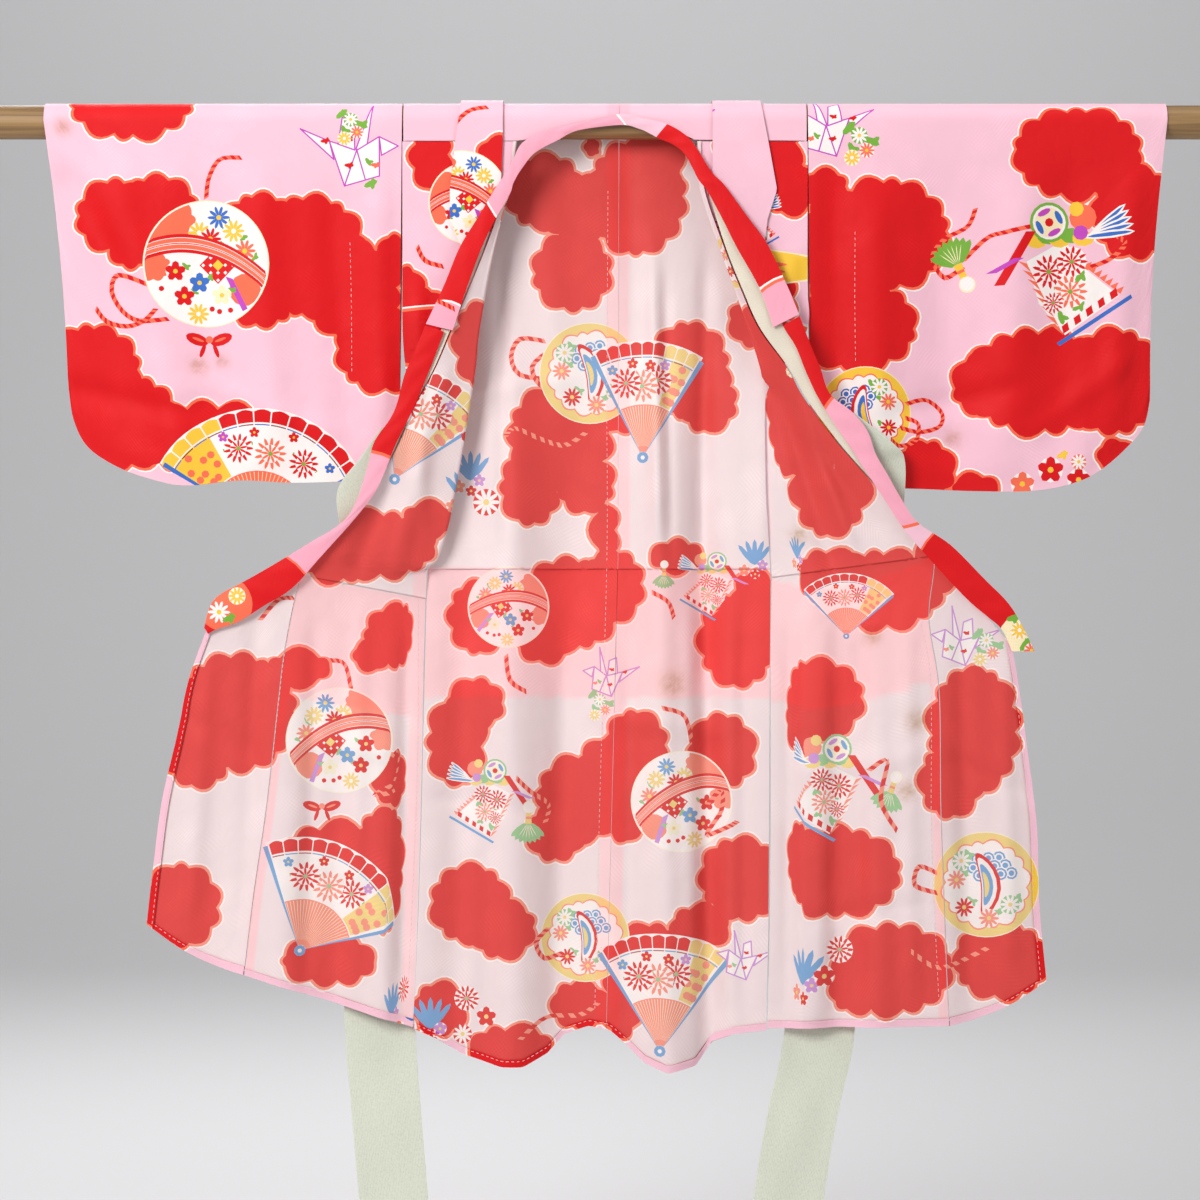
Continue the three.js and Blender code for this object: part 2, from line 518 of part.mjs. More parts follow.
function backGrid(side, firstRow, lastRow) {
  const turned = side[0].x > 0;
  return gridOf(lastRow - firstRow + 1, BACK_COLUMNS, (i, j) => {
    const across = j / (BACK_COLUMNS - 1);
    return backPoint(side, turned ? 1 - across : across, firstRow + i);
  });
}
const BACK_LAST = BACK_RISE + BACK_ROWS.length;
sew('back_left', clothWall(backGrid(BACK_SIDE_LEFT, 0, BACK_LAST), CLOTH), reverse);
sew('back_right', clothWall(backGrid(BACK_SIDE_RIGHT, 0, BACK_LAST), CLOTH), reverse);

// The fronts: flat from the side to the fold, round it, and back out to the collar
const FRONT_FINE = 2; // grid rows for each row of the table
const FLAT_STEPS = 3;
const TURN_STEPS = 4;
const BACK_OUT_STEPS = 8;
const FRONT_COLUMNS = FLAT_STEPS + TURN_STEPS + BACK_OUT_STEPS + 1;
const RADII_OUT = 4; // a bend's radius is this part of the width folded back, within its two limits
const FLAT_LEFT = 12; // with less flat cloth than this the fold dies away
const PINNED_PARTS = 6; // the first one of so many parts of the width is held by the side seam
const SIDE_ROOM = 0.21; // keeps a front's side edge off the back's
function frontPoint(table, folds, at, j) {
  const row = rowAt(table, at);
  const inward = -Math.sign(row.sideX);
  const flat = Math.max((row.foldX - row.sideX) * inward, 0);
  const out = Math.max((row.foldX - row.seamX) * inward, 0);
  const radius = clamp(out / RADII_OUT, LEAST_RADIUS, FOLD_RADIUS);
  const rise = row.sideY - row.seamY;
  const along = j / (FRONT_COLUMNS - 1);
  const straight = { x: lerp(row.sideX, row.seamX, along), rise: rise * along };
  const folded = { x: 0, rise: 0 };
  if (j <= FLAT_STEPS) {
    folded.x = lerp(row.sideX, row.foldX - inward * radius, j / FLAT_STEPS);
  } else if (j <= FLAT_STEPS + TURN_STEPS) {
    const turn = ((j - FLAT_STEPS) / TURN_STEPS) * Math.PI - Math.PI / 2;
    folded.x = row.foldX + inward * radius * (Math.cos(turn) - 1);
    folded.rise = radius * (1 + Math.sin(turn));
  } else {
    const rest = (j - FLAT_STEPS - TURN_STEPS) / BACK_OUT_STEPS;
    folded.x = lerp(row.foldX - inward * radius, row.seamX, rest);
    folded.rise = lerp(2 * radius, rise, rest);
  }
  const kept = ease(clamp(flat / FLAT_LEFT, 0, 1));
  const x = lerp(straight.x, folded.x, kept);
  const share = clamp((x - row.sideX) / (row.seamX - row.sideX), 0, 1);
  const z = lerp(row.sideZ, row.seamZ, share);
  const y = row.sideY - lerp(straight.rise, folded.rise, kept);
  const pinned = ease(clamp(share * PINNED_PARTS, 0, 1));
  const place = new THREE.Vector3(x - inward * SIDE_ROOM * (1 - share), y, z);
  place.y += foldDepth(folds, x, z, FRONT_FOLD_TOP, FRONT_FOLD_HEM) * pinned;
  return place;
}
function front(table, folds, firstAt, lastAt) {
  const rows = Math.round((lastAt - firstAt) * FRONT_FINE) + 1;
  return gridOf(rows, FRONT_COLUMNS, (i, j) => {
    const column = table[0].sideX > 0 ? FRONT_COLUMNS - 1 - j : j;
    return frontPoint(table, folds, lerp(firstAt, lastAt, i / (rows - 1)), column);
  });
}
sew('front_left', clothWall(front(FRONT_LEFT, LEFT_FOLDS, 0, FRONT_LEFT.length - 1), CLOTH), reverse);
sew('front_right', clothWall(front(FRONT_RIGHT, RIGHT_FOLDS, 0, FRONT_RIGHT.length - 1), CLOTH), reverse);

// The overlap panels: from the front's seam out to the front edge, below the collar
const OVERLAP_COLUMNS = 8;
const OVERLAP_FINE = FRONT_FINE;
function overlap(name, table, edges, folds, firstRow) {
  const rows = (edges.length - 1) * OVERLAP_FINE + 1;
  const grid = gridOf(rows, OVERLAP_COLUMNS, (i, j) => {
    const down = i / OVERLAP_FINE;
    const row = rowAt(table, firstRow + down);
    const edge = rowAt(edges, down);
    const outward = Math.sign(row.seamX);
    const across = outward < 0 ? 1 - j / (OVERLAP_COLUMNS - 1) : j / (OVERLAP_COLUMNS - 1);
    const x = lerp(row.seamX + outward * SEAM_ROOM, edge.edgeX, across);
    const sag = OVERLAP_HEM_SAG * Math.sin(Math.PI * across) * (down / (edges.length - 1));
    const z = lerp(row.seamZ, edge.edgeZ, across) - sag;
    const y = lerp(row.seamY, edge.edgeY, across);
    return new THREE.Vector3(x, y + foldDepth(folds, x, z, FRONT_FOLD_TOP, FRONT_FOLD_HEM), z);
  });
  sew(name, clothWall(grid, CLOTH), reverse);
}
overlap('overlap_left', FRONT_LEFT, EDGE_LEFT, LEFT_FOLDS, WAIST_ROW_LEFT);
overlap('overlap_right', FRONT_RIGHT, EDGE_RIGHT, RIGHT_FOLDS, WAIST_ROW_RIGHT);

// The waist tuck: a doubled flap that hangs outside the panels, below its sewn line
function movedOut(grid, distance) {
  const movedPlace = (place, i, j) => place.clone().addScaledVector(normalAt(grid, i, j, false), distance);
  return grid.map((row, i) => row.map((place, j) => movedPlace(place, i, j)));
}
const TUCK_OUT = CLOTH / 2 + GAP + DOUBLE / 2;
const waistRow = BACK_RISE + BACK_ROWS.findIndex((z) => z <= WAIST_BACK_Z);
const tuckEnd = BACK_RISE + BACK_ROWS.findIndex((z) => z <= WAIST_BACK_Z - WAIST_TUCK_DEPTH);
const WAIST_TUCK_ROWS = 2; // the fronts' flaps cover this many of their tables' rows
const tuckLeft = front(FRONT_LEFT, LEFT_FOLDS, WAIST_ROW_LEFT, WAIST_ROW_LEFT + WAIST_TUCK_ROWS);
const tuckRight = front(FRONT_RIGHT, RIGHT_FOLDS, WAIST_ROW_RIGHT, WAIST_ROW_RIGHT + WAIST_TUCK_ROWS);
const tuckBackLeft = backGrid(BACK_SIDE_LEFT, waistRow, tuckEnd);
const tuckBackRight = backGrid(BACK_SIDE_RIGHT, waistRow, tuckEnd);
sew('waist_tuck_front_left', clothWall(movedOut(tuckLeft, -TUCK_OUT), DOUBLE), outside);
sew('waist_tuck_front_right', clothWall(movedOut(tuckRight, -TUCK_OUT), DOUBLE), outside);
sew('waist_tuck_back_left', clothWall(movedOut(tuckBackLeft, TUCK_OUT), DOUBLE), outside);
sew('waist_tuck_back_right', clothWall(movedOut(tuckBackRight, TUCK_OUT), DOUBLE), outside);

// The shoulder tucks: each lies over the shoulder, from the front over the rod to the back
const TUCK_HANG_STEPS = 4;
const TUCK_ROD_STEPS = 8;
const SHOULDER_COLUMNS = 4;
function shoulderTuck(name, table, frontTable, side) {
  const reach = QUARTER_TURN - table[0].z;
  const out = TUCK_OUT + GAP;
  const drops = [];
  for (let k = 0; k < TUCK_HANG_STEPS; k += 1) drops.push(lerp(-reach, -QUARTER_TURN, k / TUCK_HANG_STEPS));
  for (let k = 0; k < TUCK_ROD_STEPS; k += 1) drops.push(lerp(-QUARTER_TURN, QUARTER_TURN, k / TUCK_ROD_STEPS));
  for (let k = 0; k <= TUCK_HANG_STEPS; k += 1) drops.push(lerp(QUARTER_TURN, reach, k / TUCK_HANG_STEPS));
  const grid = gridOf(drops.length, SHOULDER_COLUMNS, (i, j) => {
    const drop = drops[i];
    const hung = overRod(drop);
    const x = lerp(
      lookUp(table, 'z', hung.z, 'foldX'),
      lookUp(table, 'z', hung.z, 'sewnX'),
      j / (SHOULDER_COLUMNS - 1),
    );
    if (Math.abs(drop) <= QUARTER_TURN) {
      const grown = (HUNG_RADIUS + out) / HUNG_RADIUS;
      return new THREE.Vector3(x, hung.y * grown, hung.z * grown);
    }
    const inFront = lookUp(frontTable, 'sideZ', hung.z, 'sideY') - out;
    return new THREE.Vector3(x, drop < 0 ? inFront : backY(side, x, hung.z) + out, hung.z);
  });
  sew(name, clothWall(grid, DOUBLE), outside);
}
shoulderTuck('shoulder_tuck_left', TUCK_LEFT, FRONT_LEFT, BACK_SIDE_LEFT);
shoulderTuck('shoulder_tuck_right', TUCK_RIGHT, FRONT_RIGHT, BACK_SIDE_RIGHT);

// The collar and the strips beside it: bands through their sections
const COLLAR_ACROSS = 3;
const BAND_FINE = 2; // grid rows for each row of a collar's or strip's table
function band(name, table, fine, across, wall, material, edgesOf) {
  const rows = (table.length - 1) * fine + 1;
  const grid = gridOf(rows, across, (i, j) => {
    const { a, b } = edgesOf(rowAt(table, i / fine));
    return a.clone().lerp(b, j / (across - 1));
  });
  sew(name, clothWall(grid, wall), material);
}
const collarEdges = (row) => ({
  a: new THREE.Vector3(row.x, row.y, row.z),
  b: new THREE.Vector3(row.freeX, row.y, row.freeZ),
});
band('over_collar', OVER_COLLAR, BAND_FINE, COLLAR_ACROSS, DOUBLE, collarCloth, collarEdges);
band('collar_left', COLLAR_LEFT, BAND_FINE, COLLAR_ACROSS, DOUBLE, collarCloth, collarEdges);
band('collar_right', COLLAR_RIGHT, BAND_FINE, COLLAR_ACROSS, DOUBLE, collarCloth, collarEdges);

const STRIP_ACROSS = 2;
const liningEdges = (row) => ({
  a: new THREE.Vector3(row.x + Math.sign(row.x) * SEAM_ROOM, row.y, row.z),
  b: new THREE.Vector3(row.outX, row.y, row.z),
});
band('collar_lining_left', LINING_LEFT, BAND_FINE, STRIP_ACROSS, CLOTH, creamCloth, liningEdges);
band('collar_lining_right', LINING_RIGHT, BAND_FINE, STRIP_ACROSS, CLOTH, creamCloth, liningEdges);

// The belt strings, sewn on under the collar and hanging behind the fronts
const BELT_ACROSS = 3;
const beltEdges = (row) => ({
  a: new THREE.Vector3(row.outX, row.y, row.outZ),
  b: new THREE.Vector3(row.inX, row.y, row.inZ),
});
band('belt_left', BELT_LEFT, 1, BELT_ACROSS, DOUBLE, beltCloth, beltEdges);
band('belt_right', BELT_RIGHT, 1, BELT_ACROSS, DOUBLE, beltCloth, beltEdges);

export default kimono;
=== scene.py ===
import math

import bpy
import numpy as np
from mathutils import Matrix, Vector
from mathutils.geometry import delaunay_2d_cdt


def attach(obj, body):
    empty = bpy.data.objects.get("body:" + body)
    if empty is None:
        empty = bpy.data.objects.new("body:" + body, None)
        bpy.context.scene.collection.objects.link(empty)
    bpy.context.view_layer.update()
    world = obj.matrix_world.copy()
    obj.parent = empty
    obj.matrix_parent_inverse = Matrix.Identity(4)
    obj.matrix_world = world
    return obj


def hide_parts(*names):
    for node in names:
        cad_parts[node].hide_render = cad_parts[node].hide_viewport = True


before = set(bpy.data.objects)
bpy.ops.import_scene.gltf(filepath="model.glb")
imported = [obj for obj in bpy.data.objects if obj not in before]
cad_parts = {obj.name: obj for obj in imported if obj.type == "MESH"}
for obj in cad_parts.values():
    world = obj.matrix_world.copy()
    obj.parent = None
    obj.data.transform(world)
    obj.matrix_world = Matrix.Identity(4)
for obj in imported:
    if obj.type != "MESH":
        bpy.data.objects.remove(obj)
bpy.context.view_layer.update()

FLOOR_Z = -1.2
CAMERA_AWAY = 3.2
FRAME_WIDTH = 1.14
CAMERA_X = -0.0052
CAMERA_Z = -0.4536


def fit(tree, node, *firsts, **values):
    """Sets up a node: settings are in small letters and sockets start with a capital. A socket
    takes a number, a colour or another node's output."""
    for label, value in [*values.items(), *enumerate(firsts)]:
        if isinstance(label, str) and label[0].islower():
            setattr(node, label, value)
            continue
        socket = node.inputs[label.replace("_", " ") if isinstance(label, str) else label]
        if isinstance(value, bpy.types.NodeSocket):
            tree.links.new(value, socket)
        else:
            socket.default_value = value
    return node


def add(tree, kind, *firsts, **values):
    return fit(tree, tree.nodes.new(kind), *firsts, **values)


def blank_finish(name):
    """A new material, its node tree and its shader."""
    material = bpy.data.materials.new(name)
    material.use_nodes = True
    return material, material.node_tree, material.node_tree.nodes["Principled BSDF"]


pale_paper, tree, shader = blank_finish("pale_paper")
fit(tree, shader, Base_Color=(0.62, 0.62, 0.63, 1), Roughness=0.9)
PAPER_FRONT, PAPER_TURN, PAPER_RADIUS, PAPER_TOP, PAPER_HALF = -8.0, 3.6, 1.8, 6.0, 7.0
paper_line = [(PAPER_FRONT, 0.0), (PAPER_TURN, 0.0)]
for step in range(1, 17):
    turn = step / 16 * math.pi / 2
    paper_line.append((PAPER_TURN + PAPER_RADIUS * math.sin(turn), PAPER_RADIUS * (1 - math.cos(turn))))
paper_line.append((PAPER_TURN + PAPER_RADIUS, PAPER_TOP))
paper_mesh = bpy.data.meshes.new("backdrop")
paper_mesh.from_pydata(
    [(x, y, FLOOR_Z + z) for y, z in paper_line for x in (-PAPER_HALF, PAPER_HALF)],
    [],
    [(2 * k, 2 * k + 1, 2 * k + 3, 2 * k + 2) for k in range(len(paper_line) - 1)],
)
backdrop = bpy.data.objects.new("backdrop", paper_mesh)
bpy.context.collection.objects.link(backdrop)
paper_mesh.shade_smooth()
paper_mesh.materials.append(pale_paper)


def lamp(name, place, aim, size, power):
    light = bpy.data.lights.new(name, "AREA")
    light.size = size
    light.energy = power
    made = bpy.data.objects.new(name, light)
    made.location = place
    made.rotation_euler = (Vector(aim) - Vector(place)).to_track_quat("-Z", "Y").to_euler()
    bpy.context.collection.objects.link(made)


lamp("key", (-1.7, -2.6, 1.0), (0, 0, -0.45), 1.3, 84)
lamp("fill", (2.2, -2.4, 0.2), (0, 0, -0.5), 2.2, 16)
lamp("overhead", (0.2, -0.6, 2.4), (0, 0, -0.5), 1.6, 30)
lamp("behind", (-0.6, 1.9, 1.3), (0, 0, -0.5), 1.4, 42)
lamp("paper", (0, 2.4, 2.8), (0, 5.4, 0.2), 3.0, 80)
world = bpy.data.worlds.new("studio")
world.use_nodes = True
world.node_tree.nodes["Background"].inputs["Color"].default_value = (1, 1, 1, 1)
world.node_tree.nodes["Background"].inputs["Strength"].default_value = 0.2
bpy.context.scene.world = world
bpy.context.scene.view_settings.view_transform = "Standard"

lens = bpy.data.cameras.new("camera")
lens.sensor_width = 36
lens.lens = 36 * CAMERA_AWAY / FRAME_WIDTH
camera = bpy.data.objects.new("camera", lens)
camera.location = (CAMERA_X, -CAMERA_AWAY, CAMERA_Z)
camera.rotation_euler = (math.pi / 2, 0, 0)
bpy.context.collection.objects.link(camera)
bpy.context.scene.camera = camera


# Rod
# A turned pole of oiled softwood, 32 mm across, that goes in at one sleeve and out at the other.
# Its ends are sawn square and lightly rounded over.
ROD_RADIUS = 16
ROD_HALF = 635
ROD_EDGE = 1.6


def finished(mesh, name, nodes):
    """A mesh becomes a piece that rides on the body and stands for its solids, if it has any."""
    made = bpy.data.objects.new(name, mesh)
    bpy.context.collection.objects.link(made)
    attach(made, "root")
    if nodes:
        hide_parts(*nodes)
    return made


def tones(tree, factor, dark, light, low=0.0, high=1.0):
    """A colour between two tones of one material, by a factor."""
    ramp = add(tree, "ShaderNodeValToRGB", Fac=factor)
    for element, place, tone in zip(ramp.color_ramp.elements, (low, high), (dark, light)):
        element.position = place
        element.color = (*tone, 1)
    return ramp.outputs["Color"]


def relief(tree, height, strength, distance, **under):
    bump = add(tree, "ShaderNodeBump", Strength=strength, Distance=distance, Height=height, **under)
    return bump.outputs["Normal"]


rod_line = [(-ROD_HALF, 0.01), (-ROD_HALF, ROD_RADIUS - ROD_EDGE)]
for step in range(1, 5):
    turn = step / 4 * math.pi / 2
    rounded_x, rounded_r = ROD_EDGE * (1 - math.cos(turn)), ROD_EDGE * (1 - math.sin(turn))
    rod_line.append((-ROD_HALF + rounded_x, ROD_RADIUS - rounded_r))
rod_line += [(x, ROD_RADIUS) for x in np.linspace(-ROD_HALF + 12, 0, 24)]
rod_line += [(-x, r) for x, r in rod_line[-2::-1]]
AROUND = 64
turns = [2 * math.pi * k / AROUND for k in range(AROUND)]
rod_places = [
    (0.001 * x, 0.001 * r * math.sin(turn), 0.001 * r * math.cos(turn))
    for x, r in rod_line
    for turn in turns
]
rod_faces = []
for i in range(len(rod_line) - 1):
    for k in range(AROUND):
        here, beside = i * AROUND + k, i * AROUND + (k + 1) % AROUND
        rod_faces.append((here, here + AROUND, beside + AROUND, beside))
rod_faces.append(tuple(range(AROUND)))
rod_faces.append(tuple(reversed(range((len(rod_line) - 1) * AROUND, len(rod_line) * AROUND))))
rod_mesh = bpy.data.meshes.new("rod")
rod_mesh.from_pydata(rod_places, [], rod_faces)
for face in rod_mesh.polygons[:-2]:
    face.use_smooth = True

wood, tree, shader = blank_finish("oiled_softwood")
where = add(tree, "ShaderNodeTexCoord")
along_grain = add(tree, "ShaderNodeMapping", Scale=(1.6, 46, 46), Vector=where.outputs["Object"])
grain = add(tree, "ShaderNodeTexNoise", Scale=3.2, Detail=7, Distortion=0.6, Vector=along_grain.outputs[0])
fit(
    tree,
    shader,
    Base_Color=tones(tree, grain.outputs["Fac"], (0.16, 0.085, 0.03), (0.42, 0.25, 0.1), 0.3, 0.72),
    Normal=relief(tree, grain.outputs["Fac"], 0.25, 0.0008),
    Roughness=0.5,
)
rod_mesh.materials.append(wood)
finished(rod_mesh, "rod_pole", ["rod"])


# Sleeves
# Each sleeve is one length of printed figured silk, folded over the rod and sewn along the
# bottom. The outer lower corner is rounded, and the wrist edge is left open.
panels = {}
MIDDLE_RADIUS = 17.4
QUARTER_TURN = MIDDLE_RADIUS * math.pi / 2
SLEEVE_FOOT = 2.2
SILK = 0.6
# topX, footX, footZ, bow, depth
SLEEVE_LEFT = ((-531, -510, -253, 4, 0), (-523, -505, -283, 3, 0.4), (-506, -492, -308, 2, 1.5),
    (-475, -466, -326, 1, 3), (-438, -434, -338, 0, 0), (-400, -398, -345, 0, -4),
    (-350, -347, -340, 0, -1), (-300, -300, -342, 0, 4), (-248, -250, -341, 0, 1),
    (-192.4, -196, -339, 0, 0))
SLEEVE_RIGHT = ((191.4, 195, -345, 0, 0), (248, 250, -347, 0, -2), (300, 300, -348, 0, 3),
    (350, 350, -350, 0, 4), (404, 405, -350, 0, -2), (446, 443, -343, 0, -4), (480, 469, -331, -1, 0),
    (507, 494, -310, -3, 1.5), (523, 511, -289, -4, 0.4), (531, 517, -264, -5, 0))


def along(table, at):
    """Rows of a table at real places along it, on a smooth curve through the rows."""
    rows = np.array(table, float)
    at = np.asarray(at, float)
    first = np.clip(np.floor(at).astype(int), 0, len(rows) - 2)
    u = (at - first)[..., None]
    a, b, c, d = (rows[np.clip(first + n, 0, len(rows) - 1)] for n in (-1, 0, 1, 2))
    return b + 0.5 * u * (c - a + u * (2 * a - 5 * b + 4 * c - d + u * (3 * (b - c) + d - a)))


def ease(value):
    value = np.clip(value, 0, 1)
    return value * value * (3 - 2 * value)


def mix(a, b, share):
    return a + (b - a) * share


# Colours of the print on its outside and as they show through on the reverse (0 to 255)
DYES = {
    "ground": ((248, 196, 212), (238, 218, 218)),
    "red": ((222, 2, 12), (222, 70, 66)),
    "orange": ((252, 112, 80), (244, 150, 130)),
    "white": ((252, 242, 238), (246, 234, 230)),
    "yellow": ((250, 200, 60), (238, 208, 136)),
    "blue": ((56, 110, 196), (128, 166, 208)),
    "green": ((120, 176, 60), (160, 198, 148)),
    "violet": ((196, 70, 190), (204, 150, 208)),
    "pink": ((250, 170, 190), (242, 186, 196)),
    "cream": ((252, 234, 190), (244, 232, 208)),
    "dark": ((130, 20, 34), (176, 96, 100)),
}


def linear(colour):
    c = np.array(colour, float) / 255
    return np.where(c <= 0.04045, c / 12.92, ((c + 0.055) / 1.055) ** 2.4)


CREASE_GAIN = 1.8


class Panel:
    """A length of cloth: the middle of its thickness on a grid of rows and columns, in mm."""

    def __init__(self, grid, creases=()):
        self.grid = np.array(grid, float)
        self.shape_normals()
        if len(creases):
            self.press(creases)
        across = np.linalg.norm(np.diff(self.grid, axis=1), axis=2)
        down = np.linalg.norm(np.diff(self.grid, axis=0), axis=2)
        self.u = np.concatenate([[0], np.cumsum(across.mean(axis=0))])
        self.v = np.concatenate([[0], np.cumsum(down.mean(axis=1))])
        zero_column = np.zeros((len(self.v), 1))
        zero_row = np.zeros((1, len(self.u)))
        self.cloth_u = np.hstack([zero_column, np.cumsum(across, axis=1)])
        self.cloth_v = np.vstack([zero_row, np.cumsum(down, axis=0)])

    def shape_normals(self):
        across = np.gradient(self.grid, axis=1)
        down = np.gradient(self.grid, axis=0)
        normals = np.cross(across, down)
        self.normals = normals / np.maximum(np.linalg.norm(normals, axis=2, keepdims=True), 1e-9)

    def press(self, creases):
        """Soft troughs and ridges along lines seen from the front: x, z, x, z, half width, depth."""
        x, z = self.grid[..., 0], self.grid[..., 2]
        push = np.zeros_like(x)
        for x0, z0, x1, z1, width, depth in creases:
            length = math.hypot(x1 - x0, z1 - z0)
            ex, ez = (x1 - x0) / length, (z1 - z0) / length
            part = ((x - x0) * ex + (z - z0) * ez) / length
            away = (x - x0) * ez - (z - z0) * ex
            fade = ease(part / 0.25 + 0.3) * ease((1 - part) / 0.25 + 0.3)
            push += CREASE_GAIN * depth * np.exp(-((away / width) ** 2)) * fade
        self.grid[..., 1] += push
        self.shape_normals()

    def at(self, rows, columns, what):
        """Values of a grid at real rows and columns, on straight lines between its points."""
        i = np.clip(np.floor(rows).astype(int), 0, what.shape[0] - 2)
        j = np.clip(np.floor(columns).astype(int), 0, what.shape[1] - 2)
        a = rows - i
        b = columns - j
        if what.ndim == 3:
            a, b = a[:, None], b[:, None]
        return (
            what[i, j] * (1 - a) * (1 - b)
            + what[i + 1, j] * a * (1 - b)
            + what[i, j + 1] * (1 - a) * b
            + what[i + 1, j + 1] * a * b
        )

    def find(self, xz, rows, columns):
        """Cloth places (u, v) of points seen from the front, on one layer of the panel."""
        part = self.grid[rows[0] : rows[1], columns[0] : columns[1]]
        x, z = part[..., 0], part[..., 2]
        coarse_i, coarse_j = np.meshgrid(
            np.arange(0, x.shape[0], 4), np.arange(0, x.shape[1], 4), indexing="ij"
        )
        gap = (x[coarse_i, coarse_j].ravel()[None] - xz[:, :1]) ** 2
        gap = gap + (z[coarse_i, coarse_j].ravel()[None] - xz[:, 1:]) ** 2
        best = gap.argmin(axis=1)
        i = coarse_i.ravel()[best].astype(float)
        j = coarse_j.ravel()[best].astype(float)
        slopes = [np.gradient(x, axis=0), np.gradient(x, axis=1)]
        slopes += [np.gradient(z, axis=0), np.gradient(z, axis=1)]
        for _ in range(7):
            off_x = xz[:, 0] - self.at(i, j, x)
            off_z = xz[:, 1] - self.at(i, j, z)
            ci = np.clip(i, 0, x.shape[0] - 1)
            cj = np.clip(j, 0, x.shape[1] - 1)
            xi, xj, zi, zj = (self.at(ci, cj, s) for s in slopes)
            det = xi * zj - xj * zi
            det = np.where(np.abs(det) < 1e-6, 1e-6, det)
            i = i + np.clip((off_x * zj - off_z * xj) / det, -20, 20)
            j = j + np.clip((off_z * xi - off_x * zi) / det, -20, 20)
            i = np.clip(i, -30, x.shape[0] + 30)
            j = np.clip(j, -30, x.shape[1] + 30)
        return np.column_stack([beyond(self.u, j + columns[0]), beyond(self.v, i + rows[0])])


def beyond(values, at):
    """Values of a row at real places, carried on straight past both ends."""
    last = len(values) - 1
    inside = np.interp(at, np.arange(last + 1), values)
    low = np.minimum(at, 0) * (values[1] - values[0])
    high = np.maximum(at - last, 0) * (values[last] - values[last - 1])
    return inside + low + high


def inside_outline(places, outline):
    """Which places lie inside a closed outline."""
    x, y = places[:, :1], places[:, 1:]
    x0, y0 = outline[:, 0], outline[:, 1]
    x1, y1 = np.roll(x0, -1), np.roll(y0, -1)
    crosses = (y0 > y) != (y1 > y)
    slope = np.where(y1 == y0, 1, y1 - y0)
    left = x < (x1 - x0) * (y - y0) / slope + x0
    return (crosses & left).sum(axis=1) % 2 == 1


